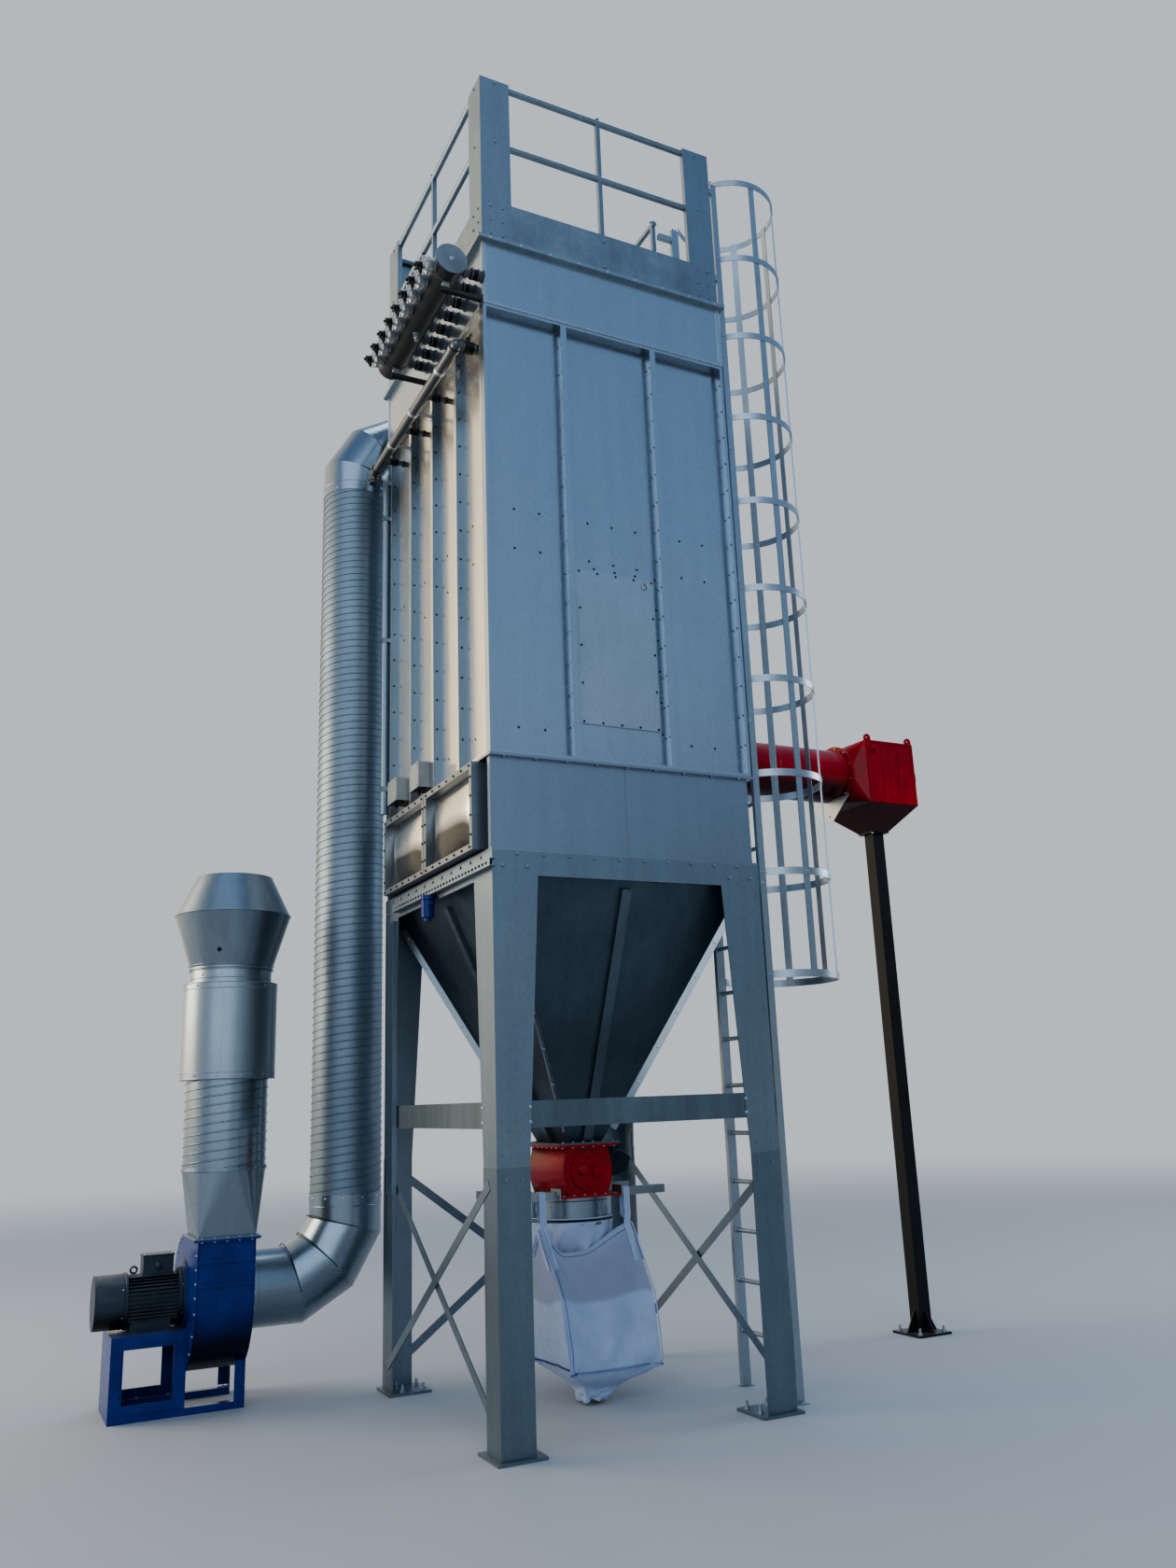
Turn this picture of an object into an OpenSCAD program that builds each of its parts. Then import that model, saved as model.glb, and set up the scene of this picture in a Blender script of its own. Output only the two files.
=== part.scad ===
// Free standing bag filter: panelled casing on four legs, hopper with rotary
// valve and bulk bag, roof platform, caged ladder, pulse air header, clean air
// riser to a floor fan with stack, and a flap valve on the dirty air inlet.

/* [Casing] */
// outside width of the casing, left to right
house_w = 1690; // [1400:10:2200]
// outside depth of the casing, front to back
house_d = 1870; // [1500:10:2400]
// height of the underside of the casing above the floor
casing_z = 2950; // [2600:10:3400]
// height of the lower band that carries the vents
band_h = 540; // [400:10:700]
// height of the tray panel walls
pan_h = 2805; // [2000:5:3600]
// height of the flush clean air chamber
plenum_h = 460; // [380:5:650]
// depth of the wall trays
pan_depth = 58; // [40:1:75]
// sheet thickness of the wall trays
pan_sheet = 3; // [2:0.5:6]
// width of the return lip on each tray edge
pan_lip = 20; // [12:1:40]
// width of the middle tray on the front and rear
mid_pan_w = 630; // [400:5:700]
// number of trays on the left and right walls
side_pans = 4; // [3:1:5]
// inset of the lower band behind the casing face
band_inset = 22; // [10:1:40]
// recess of the lower band behind the vents
vent_recess = 55; // [30:1:90]
// width of the corner strips of the lower band
corner_strip = 36; // [20:1:60]
// overhang of the flange plate above the band
flange_out = 8; // [2:1:20]
// thickness of the flange plates above and below the band
flange_t = 14; // [6:1:25]
// overhang of the roof plate
roof_over = 34; // [10:1:60]
// thickness of the roof plate edge
roof_t = 26; // [10:1:50]
// width of the access door on the middle front tray
door_w = 515; // [400:5:560]
// height of the access door
door_h = 957; // [700:1:1400]
// height of the access door sill above the tray bottom
door_sill = 238; // [100:1:700]
// thickness of the access door
door_t = 10; // [5:1:40]
// distance of the roof lids from the roof edge
lid_edge = 130; // [80:5:300]
// gap between the roof lids
lid_gap = 80; // [40:5:200]
// thickness of the roof lids
lid_t = 45; // [20:1:80]

/* [Legs and frame] */
// depth of the ring beam under the casing
ring_h = 130; // [100:5:200]
// flange width of the ring beam
ring_w = 18; // [14:1:60]
// plate thickness of legs and beams
leg_t = 6; // [4:1:12]
// width of each leg wing at the top
leg_top_w = 265; // [200:5:350]
// width of each leg wing below the splice
leg_low_w = 180; // [120:5:240]
// height of the leg splice above the floor
splice_z = 1335; // [1000:5:1700]
// side of the square foot plates
foot_w = 260; // [200:5:360]
// thickness of the foot plates
foot_t = 15; // [8:1:30]
// radius of the anchor holes in the foot plates
anchor_r = 9; // [6:0.5:14]
// distance between the anchor holes
anchor_gap = 130; // [100:5:200]
// underside of the cross beams above the floor
cross_z = 1520; // [1300:10:1800]
// height of the cross beams
cross_h = 134; // [80:2:200]
// width of the cross beams
cross_w = 50; // [30:2:80]
// width of the diagonal brace bars
brace_w = 50; // [30:1:80]
// thickness of the diagonal brace bars
brace_t = 6; // [4:1:12]
// height of the lower ends of the diagonal braces
brace_z0 = 150; // [80:10:400]
// height of the upper ends of the diagonal braces
brace_z1 = 1250; // [900:10:1450]

/* [Hopper and discharge] */
// width of the hopper outlet
outlet_w = 200; // [180:5:260]
// depth of the hopper outlet
outlet_d = 440; // [350:5:480]
// width of the bolted corner flanges of the hopper
corner_flange = 40; // [25:1:60]
// width of the folded ribs of the hopper
rib_w = 60; // [40:1:90]
// height of the hopper outlet above the floor
outlet_z = 1400; // [1200:5:1500]
// wall thickness of the hopper
hopper_t = 5; // [3:1:10]
// width of the rotary valve body across the bulge of its sides
valve_w = 310; // [280:5:400]
// length of the rotary valve body along its shaft
valve_l = 480; // [400:5:560]
// width of the bolted rims of the valve and the hopper
rim_w = 38; // [20:1:60]
// thickness of the bolted rims
rim_t = 12; // [6:1:20]
// height of the rotary valve body with its flanges
valve_h = 290; // [200:5:360]
// diameter of the discharge chute
chute_d = 470; // [300:5:520]
// height of the discharge chute
chute_h = 160; // [100:5:240]
// side of the square bulk bag
bag_w = 585; // [540:5:700]
// height of the bulk bag body
bag_h = 765; // [500:5:800]
// height of the bag body bottom above the floor
bag_z = 190; // [150:5:300]
// drop of the bag spout below the body
spout_h = 140; // [60:5:150]
// lean of the bag bottom to the right
bag_lean = 150; // [0:5:200]
// wall thickness of the bag
bag_t = 8; // [3:1:12]
// width of the lifting loops
loop_w = 50; // [30:1:80]
// reach of the bag arms from the valve centre
arm_reach = 500; // [420:5:600]
// side of the square strut bars
strut_w = 41; // [30:1:60]
// side of the square bag arms
arm_w = 45; // [30:1:60]

/* [Platform] */
// height of the guard rails above the roof
rail_h = 1200; // [1000:10:1300]
// width of the folded corner post wings
post_w = 200; // [100:5:260]
// sheet thickness of the posts and toe plates
post_t = 4; // [3:0.5:8]
// height of the toe plates
toe_h = 285; // [100:5:320]
// diameter of the guard rail tubes
rail_d = 42; // [30:1:60]
// height of the middle rail above the roof
mid_rail_z = 729; // [400:1:800]

/* [Ladder] */
// distance of the ladder stiles from the casing wall
ladder_off = 105; // [90:1:250]
// centre of the ladder from the front of the casing
ladder_y = 420; // [350:5:600]
// distance between the stile centres
ladder_w = 520; // [400:5:600]
// depth of the stile bars
stile_w = 60; // [40:1:80]
// thickness of the stile bars
stile_t = 6; // [4:1:20]
// width of the outward flange of the stiles
stile_lip = 28; // [15:1:50]
// height of the first wall bracket above the tray bottom
bracket_z = 400; // [200:10:800]
// distance between the wall brackets
bracket_pitch = 950; // [600:10:1300]
// diameter of the rungs
rung_d = 26; // [20:1:35]
// distance between rungs
rung_pitch = 280; // [230:5:300]
// radius of the cage hoops
hoop_r = 355; // [325:5:400]
// distance between the cage hoops
hoop_pitch = 620; // [500:5:900]
// height of the lowest hoop above the floor
hoop_z0 = 2310; // [2100:10:2600]
// number of cage hoops
hoop_count = 10; // [6:1:12]
// width of the cage bars
cage_w = 45; // [25:1:60]
// thickness of the cage bars
cage_t = 6; // [3:1:10]

/* [Pulse air] */
// diameter of the air header
header_d = 320; // [220:5:380]
// length of the air header
header_l = 1180; // [900:10:1600]
// distance of the header axis from the casing wall
header_off = 250; // [200:5:320]
// height of the header axis above the chamber floor
header_up = 165; // [100:5:260]
// front end of the header from the front of the casing
header_y0 = -90; // [-150:5:200]
// number of pulse valves
pulse_n = 8; // [4:1:10]
// distance between pulse valves
pulse_pitch = 145; // [120:1:200]
// diameter of the pulse valve bodies
pulse_d = 104; // [80:2:120]
// diameter of the pulse valve coils
coil_d = 44; // [30:1:60]
// diameter of the blow pipes
blow_d = 48; // [30:1:60]
// diameter of the air supply pipe
supply_d = 66; // [40:1:90]
// distance of the supply pipe from the casing wall
supply_off = 125; // [90:5:200]
// height of the supply pipe below the chamber floor
supply_down = 245; // [150:5:400]
// diameter of the corner conduit
conduit_d = 40; // [25:1:60]

/* [Explosion vents] */
// width of each vent panel
vent_w = 720; // [400:10:800]
// height of each vent panel
vent_h = 420; // [300:10:480]
// rise of the vent dome
vent_rise = 45; // [20:1:56]
// distance of the vent frames in front of the casing face
vent_out = 58; // [57:1:90]
// width of the vent frame rims
vent_rim = 36; // [20:1:38]
// gap between the vent openings
vent_gap = 80; // [78:1:120]
// length of the cable tray below the vents
tray_l = 1655; // [1200:5:1700]
// front end of the cable tray from the front of the casing
tray_y0 = -65; // [-80:5:100]
// height of the cable tray below the casing
tray_down = 100; // [80:1:120]
// distance between the slots of the cable tray
slot_pitch = 50; // [40:5:100]

/* [Clean air ducts] */
// outside diameter of the clean air duct
duct_d = 450; // [300:5:550]
// wall thickness of ducts and cowls
duct_t = 3; // [2:0.5:6]
// bend radius of the duct elbows
bend_r = 450; // [400:5:700]
// distance of the riser axis behind the casing
riser_back = 295; // [260:5:500]
// distance of the riser axis left of the casing
riser_left = 165; // [100:5:400]
// length of the outlet box along the rear wall
out_box_w = 800; // [600:10:1100]

/* [Fan and stack] */
// height of the fan shaft above the floor
fan_z = 610; // [500:5:800]
// width of the fan casing
fan_w = 326; // [240:2:420]
// gap between the fan casing and the lower elbow
fan_gap = 200; // [120:5:400]
// smallest scroll radius
scroll_r = 350; // [280:5:420]
// growth of the scroll radius each quarter turn
scroll_s = 40; // [20:1:60]
// depth of the fan discharge
disch_d = 360; // [280:5:420]
// diameter of the stack duct
stack_d = 480; // [350:5:560]
// height of the square to round piece
trans_h = 375; // [250:5:500]
// height of the stack duct
stack_h = 515; // [300:5:900]
// diameter of the silencer
silencer_d = 556; // [520:2:700]
// height of the silencer
silencer_h = 570; // [400:5:900]
// height of the collar above the silencer
collar_h = 92; // [60:2:160]
// largest diameter of the jet cowl
cowl_d = 694; // [620:2:800]
// height of the lower cone of the jet cowl
cowl_low_h = 327; // [200:5:450]
// height of the upper cone of the jet cowl
cowl_top_h = 244; // [150:4:350]
// diameter of the motor body
motor_d = 300; // [220:5:360]
// length of the motor with its fan cover
motor_l = 500; // [380:5:600]
// width of the fan base across the shaft
base_w = 460; // [360:10:560]

/* [Dirty air inlet] */
// outside diameter of the inlet pipe
inlet_d = 400; // [300:5:500]
// distance of the inlet axis from the front of the casing
inlet_y = 1270; // [1150:5:1450]
// height of the inlet axis above the floor
inlet_z = 3950; // [3850:5:4400]
// length of the inlet pipe from the casing to its flange
inlet_l = 1640; // [1000:10:2400]
// length of the flap valve box
flap_l = 450; // [350:5:600]
// side of the flap valve box
flap_w = 540; // [480:5:640]
// length of the cone between the pipe and the flap box
flap_cone = 110; // [60:5:200]
// length of the round spigot behind the flap box
flap_end = 70; // [40:5:150]
// height of the tapered underside of the flap box
flap_taper = 170; // [120:5:240]
// side of the square support post
prop_w = 100; // [80:5:160]
// side of the foot plate under the inlet prop
prop_foot = 280; // [220:5:360]
// distance between the anchor holes of the inlet prop
prop_anchor = 210; // [150:5:260]

/* [Hidden] */
$fn = 64;
eps = 0.01;
seat = 0.3;
pan_z = casing_z + band_h;
plenum_z = pan_z + pan_h;
roof_z = plenum_z + plenum_h;
rail_z = roof_z + rail_h;
cx = house_w / 2;
cy = house_d / 2;
side_pan_w = (house_w - mid_pan_w) / 2;
wall_pan_w = house_d / side_pans;
valve_z = outlet_z - valve_h;
chute_z = valve_z - chute_h;
stile_x = house_w + ladder_off;
cage_x = stile_x + stile_w + hoop_r * cos(asin(ladder_w / 2 / hoop_r));
header_x = -header_off;
header_z = plenum_z + header_up;
pulse_y0 = header_y0 + (header_l - (pulse_n - 1) * pulse_pitch) / 2;
supply_z = plenum_z - supply_down;
riser_x = -riser_left;
riser_y = house_d + riser_back;
top_z = roof_z - roof_t - duct_d / 2 - 2;
out_gap = 20;
out_x = riser_x + bend_r + out_gap;
fan_x1 = riser_x - bend_r - fan_gap;
fan_x0 = fan_x1 - fan_w;
fan_cx = (fan_x0 + fan_x1) / 2;
scroll_y = riser_y + scroll_s / 2;
scroll_z = fan_z - scroll_s / 2;
fan_front = scroll_y - scroll_s - scroll_r - 2 * scroll_s;
disch_z = scroll_z + scroll_r;
stack_y = fan_front + disch_d / 2;
trans_z = disch_z + 12;
stack_z = trans_z + trans_h;
silencer_z = stack_z + stack_h;
collar_z = silencer_z + silencer_h;
cowl_z = collar_z + collar_h;
motor_x0 = fan_x0 - motor_l;
flap_x0 = house_w + inlet_l;
flap_box_x = flap_x0 + flap_cone;
flap_x1 = flap_box_x + flap_l;
inlet_x1 = flap_x1 + flap_end;
flap_bot = inlet_z - flap_w / 2 + 30;
prop_z = flap_bot - flap_taper;
back_y = riser_y + scroll_r + scroll_s / 2 + 12;
plan_x = -(motor_x0 + inlet_x1) / 2;
plan_y = -(header_y0 - 12 + back_y) / 2;
wall_x = pan_depth - pan_sheet;

// piece to draw

module on_plan() {
  translate([plan_x, plan_y, 0]) children();
}

module corners() {
  for (mx = [0, 1])
    for (my = [0, 1])
      translate([mx * house_w, my * house_d, 0])
        mirror([mx, 0, 0]) mirror([0, my, 0]) children();
}

module foot_plates() {
  color("#8a9299") on_plan() corners()
    difference() {
      translate([-30, -30, 0]) cube([foot_w, foot_w, foot_t]);
      for (px = [60, 60 + anchor_gap]) for (py = [60, 60 + anchor_gap])
        translate([px, py, -1]) cylinder(h = foot_t + 2, r = anchor_r, $fn = 32);
    }
}

module leg_wing() {
  rotate([90, 0, 0]) translate([0, 0, -leg_t])
    linear_extrude(height = leg_t)
      polygon([[0, foot_t], [leg_low_w, foot_t], [leg_low_w, splice_z],
        [leg_top_w, casing_z - ring_h], [0, casing_z - ring_h]]);
}

module legs() {
  color("#8a9299") on_plan() corners() {
    leg_wing();
    mirror([1, -1, 0]) leg_wing();
    translate([leg_t, leg_t, splice_z - 90]) cube([leg_low_w - 20, leg_t, 180]);
    translate([leg_t, leg_t, splice_z - 90]) cube([leg_t, leg_low_w - 20, 180]);
  }
}

module ring_beam() {
  color("#8a9299") on_plan() translate([0, 0, casing_z - ring_h]) difference() {
    cube([house_w, house_d, ring_h]);
    translate([ring_w, ring_w, -1])
      cube([house_w - 2 * ring_w, house_d - 2 * ring_w, ring_h + 2]);
  }
}

module channel(len) {
  difference() {
    cube([len, cross_w, cross_h]);
    translate([-1, leg_t, leg_t]) cube([len + 2, cross_w, cross_h - 2 * leg_t]);
  }
}

module cross_beams() {
  lx = house_w - 2 * leg_low_w + 40;
  ly = house_d - 2 * leg_low_w + 40;
  color("#8a9299") on_plan() {
    translate([leg_low_w - 20, leg_t, cross_z]) channel(lx);
    translate([house_w - leg_low_w + 20, house_d - leg_t, cross_z])
      rotate([0, 0, 180]) channel(lx);
    translate([leg_t, house_d - leg_low_w + 20, cross_z]) rotate([0, 0, -90]) channel(ly);
    translate([house_w - leg_t, leg_low_w - 20, cross_z]) rotate([0, 0, 90]) channel(ly);
  }
}

module brace(len, shift) {
  rise = brace_z1 - brace_z0;
  ang = atan(rise / len);
  translate([0, shift, brace_z0]) rotate([0, -ang, 0])
    translate([0, 0, -brace_w / 2])
      cube([sqrt(len * len + rise * rise), brace_t, brace_w]);
}

module brace_pair(len) {
  brace(len, 0);
  translate([len, 0, 0]) mirror([1, 0, 0]) brace(len, -leg_t - brace_t);
}

module braces() {
  lx = house_w - 200;
  ly = house_d - 200;
  color("#8a9299") on_plan() {
    translate([leg_t, 100, 0]) rotate([0, 0, 90]) mirror([0, 1, 0]) brace_pair(ly);
    translate([house_w - leg_t, 100, 0]) rotate([0, 0, 90]) brace_pair(ly);
    translate([100, house_d - leg_t, 0]) mirror([0, 1, 0]) brace_pair(lx);
  }
}

module frustum(w0, d0, w1, d1, h) {
  hull() {
    translate([-w0 / 2, -d0 / 2, 0]) cube([w0, d0, eps]);
    translate([-w1 / 2, -d1 / 2, h - eps]) cube([w1, d1, eps]);
  }
}

hop_w = house_w - 2 * ring_w - 6;
hop_d = house_d - 2 * ring_w - 6;
hop_h = casing_z - outlet_z;

module hopper() {
  color("#939ba1") on_plan() translate([cx, cy, outlet_z]) difference() {
    frustum(outlet_w, outlet_d, hop_w, hop_d, hop_h);
    translate([0, 0, -0.1])
      frustum(outlet_w - 2 * hopper_t, outlet_d - 2 * hopper_t,
        hop_w - 2 * hopper_t, hop_d - 2 * hopper_t, hop_h + 0.2);
  }
}

module hopper_flanges() {
  dx = (hop_w - outlet_w) / 2;
  dy = (hop_d - outlet_d) / 2;
  l = sqrt(dx * dx + dy * dy);
  e = sqrt(l * l + hop_h * hop_h);
  n = [hop_h / e, -l / e];
  lo = [l * 0.06, hop_h * 0.06] + seat * n;
  hi = [l * 0.89, hop_h * 0.89] + seat * n;
  f = corner_flange;
  color("#a3abb1") on_plan() translate([cx, cy, outlet_z])
    for (mx = [0, 1]) for (my = [0, 1]) mirror([mx, 0, 0]) mirror([0, my, 0])
      translate([outlet_w / 2, outlet_d / 2, 0]) rotate([0, 0, atan(dy / dx)])
        rotate([90, 0, 0]) translate([0, 0, -3]) linear_extrude(height = 6)
          polygon([lo, hi, hi + f * n, lo + f * n]);
}

module hopper_ribs() {
  rx = atan((hop_d - outlet_d) / 2 / hop_h);
  ry = atan((hop_w - outlet_w) / 2 / hop_h);
  lx = hop_h / cos(rx);
  ly = hop_h / cos(ry);
  r = 24;
  w = rib_w;
  hw = outlet_w + 2 * (rim_t * tan(ry) + seat);
  hd = outlet_d + 2 * (rim_t * tan(rx) + seat);
  color("#8a9299") on_plan() translate([cx, cy, outlet_z]) {
    for (s = [0, 1]) mirror([0, s, 0])
      translate([-w / 2, -outlet_d / 2, 0]) rotate([rx, 0, 0])
        translate([0, -r - seat, r + 6]) cube([w, r, lx * 0.88]);
    for (s = [0, 1]) mirror([s, 0, 0])
      translate([-outlet_w / 2, -w / 2, 0]) rotate([0, -ry, 0])
        translate([-r - seat, 0, r + 6]) cube([r, w, ly * 0.88]);
    difference() {
      rim_plate(rim_t);
      translate([-hw / 2, -hd / 2, -1]) cube([hw, hd, rim_t + 2]);
    }
  }
}

module rim_plate(h) {
  w = valve_w + 2 * rim_w;
  d = valve_l + 2 * rim_w;
  translate([-w / 2, -d / 2, 0]) cube([w, d, h]);
}

module rotary_valve() {
  zc = valve_h / 2;
  h = valve_h - 2 * rim_t;
  r = valve_w;
  color("#c4161c") on_plan() translate([cx, cy, valve_z]) {
    translate([0, 0, valve_h - rim_t]) rim_plate(rim_t);
    rim_plate(rim_t);
    intersection() {
      translate([-valve_w / 2, -valve_l / 2, rim_t]) cube([valve_w, valve_l, h]);
      translate([valve_w / 2, -valve_l, zc]) rotate([-90, 0, 0])
        cylinder(h = 2 * valve_l, r = r, $fn = 128);
      translate([-valve_w / 2, -valve_l, zc]) rotate([-90, 0, 0])
        cylinder(h = 2 * valve_l, r = r, $fn = 128);
    }
    translate([0, -valve_l / 2 - 14, zc]) rotate([-90, 0, 0]) cylinder(h = 15, d = valve_h - 70);
    translate([15, -valve_l / 2 - 50, zc - 30]) cube([56, 40, 56]);
  }
}

module valve_drive() {
  y0 = valve_l / 2;
  mx = valve_w / 2 + 110;
  zc = valve_h * 0.6;
  color("#2a3038") on_plan() translate([cx, cy, valve_z]) {
    translate([-110, y0, rim_t + 32]) cube([mx + 200, 60, valve_h - 2 * rim_t - 40]);
    translate([mx, y0 - 90, zc]) rotate([-90, 0, 0]) cylinder(h = 91, d = 180);
    translate([mx, y0 - 360, zc]) rotate([-90, 0, 0]) cylinder(h = 271, d = 140);
    translate([mx - 50, y0 - 300, zc + 50]) cube([100, 120, 60]);
  }
}

module chute() {
  color("#aab2b8") on_plan() translate([cx, cy, chute_z]) difference() {
    union() {
      cylinder(h = chute_h, d = chute_d);
      translate([0, 0, 6]) cylinder(h = 26, d = chute_d + 14);
    }
    translate([0, 0, -1]) cylinder(h = chute_h + 2, d = chute_d - 2 * duct_t);
  }
}

arm_z = valve_z - 5;
arm_y = valve_l / 2 - 20;

module bag_arms() {
  arm_x = valve_w / 2 + rim_w;
  color("#8a9299") on_plan() translate([cx, cy, arm_z])
    for (s = [0, 1]) mirror([s, 0, 0]) for (t = [-1, 1]) {
      translate([arm_x, t * arm_y - 60, 0]) cube([8, 120, 60]);
      translate([arm_x + 8, t * arm_y - arm_w / 2, 0])
        cube([arm_reach - arm_x - 8, arm_w, arm_w]);
    }
}

module bag_form(w, z0, z1) {
  lean = bag_lean * (bag_z + bag_h - z0) / bag_h;
  hull() {
    translate([lean - w / 2, -w / 2, z0]) cube([w, w, eps]);
    translate([-w / 2, -w / 2, z1]) cube([w, w, eps]);
  }
}

module bulk_bag() {
  top = bag_z + bag_h;
  spout = bag_w * 0.6;
  color("#e9ecef") on_plan() translate([cx - loop_w / 2, cy, 0]) {
    difference() {
      bag_form(bag_w, bag_z, top);
      bag_form(bag_w - 2 * bag_t, bag_z + bag_t, top + 1);
    }
    hull() {
      translate([bag_lean - bag_w / 2 + 30, 30 - bag_w / 2, bag_z])
        cube([bag_w - 60, bag_w - 60, eps]);
      translate([bag_lean - spout / 2, -spout / 2, bag_z - spout_h]) cube([spout, spout, eps]);
    }
    for (sx = [0, 1]) for (sy = [-1, 1]) mirror([sx, 0, 0])
      translate([bag_w / 2 - loop_w, sy * arm_y, 0]) bag_loop(top);
  }
}

module bag_loop(top) {
  t = 6;
  z1 = arm_z + arm_w;
  for (s = [-1, 1]) translate([0, s * (arm_w + t) / 2 - t / 2, top - 60])
    cube([loop_w, t, z1 - top + 60]);
  translate([0, -arm_w / 2 - t, z1]) cube([loop_w, arm_w + 2 * t, t]);
}

module lower_band() {
  i = band_inset;
  v = vent_recess;
  o = flange_out;
  color("#939ba1") on_plan() translate([0, 0, casing_z]) {
    translate([v, i, 0]) cube([house_w - v - i, house_d - 2 * i, band_h]);
    cube([house_w, house_d, flange_t]);
    translate([-o, -o, band_h - flange_t])
      cube([house_w + 2 * o, house_d + 2 * o, flange_t]);
    for (y = [i, house_d - i - corner_strip])
      translate([4, y, 0]) cube([v, corner_strip, band_h]);
  }
}

module bag_chamber() {
  p = pan_depth;
  color("#939ba1") on_plan() translate([p, p, pan_z])
    cube([house_w - 2 * p, house_d - 2 * p, pan_h]);
}

module pan(w) {
  difference() {
    cube([w, pan_depth, pan_h]);
    translate([pan_lip, -1, pan_lip])
      cube([w - 2 * pan_lip, pan_depth + 1 - pan_sheet, pan_h - 2 * pan_lip]);
    translate([pan_sheet, pan_sheet, pan_sheet])
      cube([w - 2 * pan_sheet, pan_depth - 2 * pan_sheet, pan_h - 2 * pan_sheet]);
  }
}

module end_pans() {
  pan(side_pan_w);
  translate([side_pan_w, 0, 0]) pan(mid_pan_w);
  translate([side_pan_w + mid_pan_w, 0, 0]) pan(side_pan_w);
}

module wall_pans() {
  p = pan_depth;
  w = (house_d - 2 * p) / side_pans;
  for (i = [0 : side_pans - 1]) translate([p + i * w, 0, 0]) pan(w);
}

module front_pans() {
  color("#98a1a8") on_plan() translate([0, 0, pan_z]) end_pans();
}

module rear_pans() {
  color("#98a1a8") on_plan() translate([0, house_d, pan_z]) mirror([0, 1, 0]) end_pans();
}

module left_pans() {
  color("#98a1a8") on_plan() translate([0, 0, pan_z])
    rotate([0, 0, 90]) mirror([0, 1, 0]) wall_pans();
}

module right_pans() {
  color("#98a1a8") on_plan() difference() {
    translate([house_w, 0, pan_z]) rotate([0, 0, 90]) wall_pans();
    translate([house_w - pan_depth - 1, inlet_y, inlet_z]) rotate([0, 90, 0])
      cylinder(h = pan_depth + 2, d = inlet_d + 60);
  }
}

module plenum() {
  color("#8f989f") on_plan() translate([0, 0, plenum_z]) cube([house_w, house_d, plenum_h - roof_t]);
}

module roof_plate() {
  o = roof_over;
  color("#8f989f") on_plan() translate([-o, -o, roof_z - roof_t])
    cube([house_w + 2 * o, house_d + 2 * o, roof_t]);
}

module roof_lids() {
  lw = house_w - 2 * lid_edge;
  ld = (house_d - 2 * lid_edge - lid_gap) / 2;
  color("#939ba1") on_plan() for (i = [0, 1])
    translate([lid_edge, lid_edge + i * (ld + lid_gap), roof_z]) {
      cube([lw, ld, lid_t]);
      for (hx = [lw * 0.25, lw * 0.75]) translate([hx - 60, ld / 2 - 6, lid_t]) difference() {
        cube([120, 12, 50]);
        translate([12, -1, -1]) cube([96, 14, 39]);
      }
    }
}

module access_door() {
  z = pan_z + door_sill;
  color("#9aa3aa") on_plan()
    translate([cx - door_w / 2, wall_x - door_t, z])
      cube([door_w, door_t, door_h]);
}

vent_y0 = (house_d - 2 * vent_w - vent_gap) / 2;
vent_z0 = casing_z + 62;

module vent_frames() {
  f = vent_rim;
  color("#9aa3aa") on_plan() for (i = [0, 1])
    translate([0, vent_y0 + i * (vent_w + vent_gap), vent_z0]) difference() {
      translate([-vent_out, -f, -f])
        cube([vent_out + vent_recess, vent_w + 2 * f, vent_h + 2 * f]);
      translate([-vent_out - 1, 0, 0]) cube([vent_out + 1, vent_w, vent_h]);
    }
}

module vent_domes() {
  r = (vent_h * vent_h / 4 + vent_rise * vent_rise) / (2 * vent_rise);
  color("#b9c0c4") on_plan() for (i = [0, 1])
    translate([0, vent_y0 + i * (vent_w + vent_gap), vent_z0]) intersection() {
      translate([-vent_rise, 0, 0]) cube([vent_rise, vent_w, vent_h]);
      translate([r - vent_rise, -1, vent_h / 2]) rotate([-90, 0, 0])
        cylinder(h = vent_w + 2, r = r, $fn = 180);
    }
}

module cable_tray() {
  w = strut_w;
  n = floor(tray_l / slot_pitch) - 1;
  color("#a8afb4") on_plan() translate([-w, tray_y0, casing_z - tray_down]) difference() {
    cube([w, tray_l, w]);
    translate([3, -1, 3]) cube([w, tray_l + 2, w - 6]);
    for (i = [1 : n]) translate([-1, i * slot_pitch - 14, w / 2 - 7]) cube([5, 28, 14]);
  }
}

module leg_tray() {
  w = 100;
  d = 30;
  z0 = 1130;
  color("#98a1a8") on_plan() translate([-d, house_d - leg_top_w + 15, z0]) difference() {
    cube([d, w, casing_z - ring_h - 20 - z0]);
    translate([-1, 3, -1]) cube([d - 2, w - 6, casing_z]);
  }
}

module level_sensor() {
  z1 = casing_z - tray_down - 6;
  d = 78;
  color("#16306e") on_plan() translate([0, cy - 35, 0]) {
    translate([-8, -40, casing_z - ring_h + 2]) cube([8, 80, z1 - casing_z + ring_h - 2]);
    translate([-d / 2 - 6, 0, z1 - 130]) cylinder(h = 130, d = d);
    translate([-d / 2 - 6, 0, z1 - 150]) cylinder(h = 20, d = d * 0.6);
  }
}

module corner_conduit() {
  y = house_d - 30;
  x = -conduit_d / 2 - 8;
  z0 = pan_z + 60;
  z1 = supply_z - 40;
  color("#8d949a") on_plan() {
    translate([x, y, z0]) cylinder(h = z1 - z0, d = conduit_d);
    translate([x, y, z1]) sphere(d = conduit_d);
    tube_x(x, 0, y, z1, conduit_d);
    for (z = [z0 + 160, (z0 + z1) / 2, z1 - 300])
      translate([x - conduit_d / 2 - 3, y - conduit_d / 2 - 4, z])
        cube([-x + conduit_d / 2 + 3, conduit_d + 8, 30]);
  }
}

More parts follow.
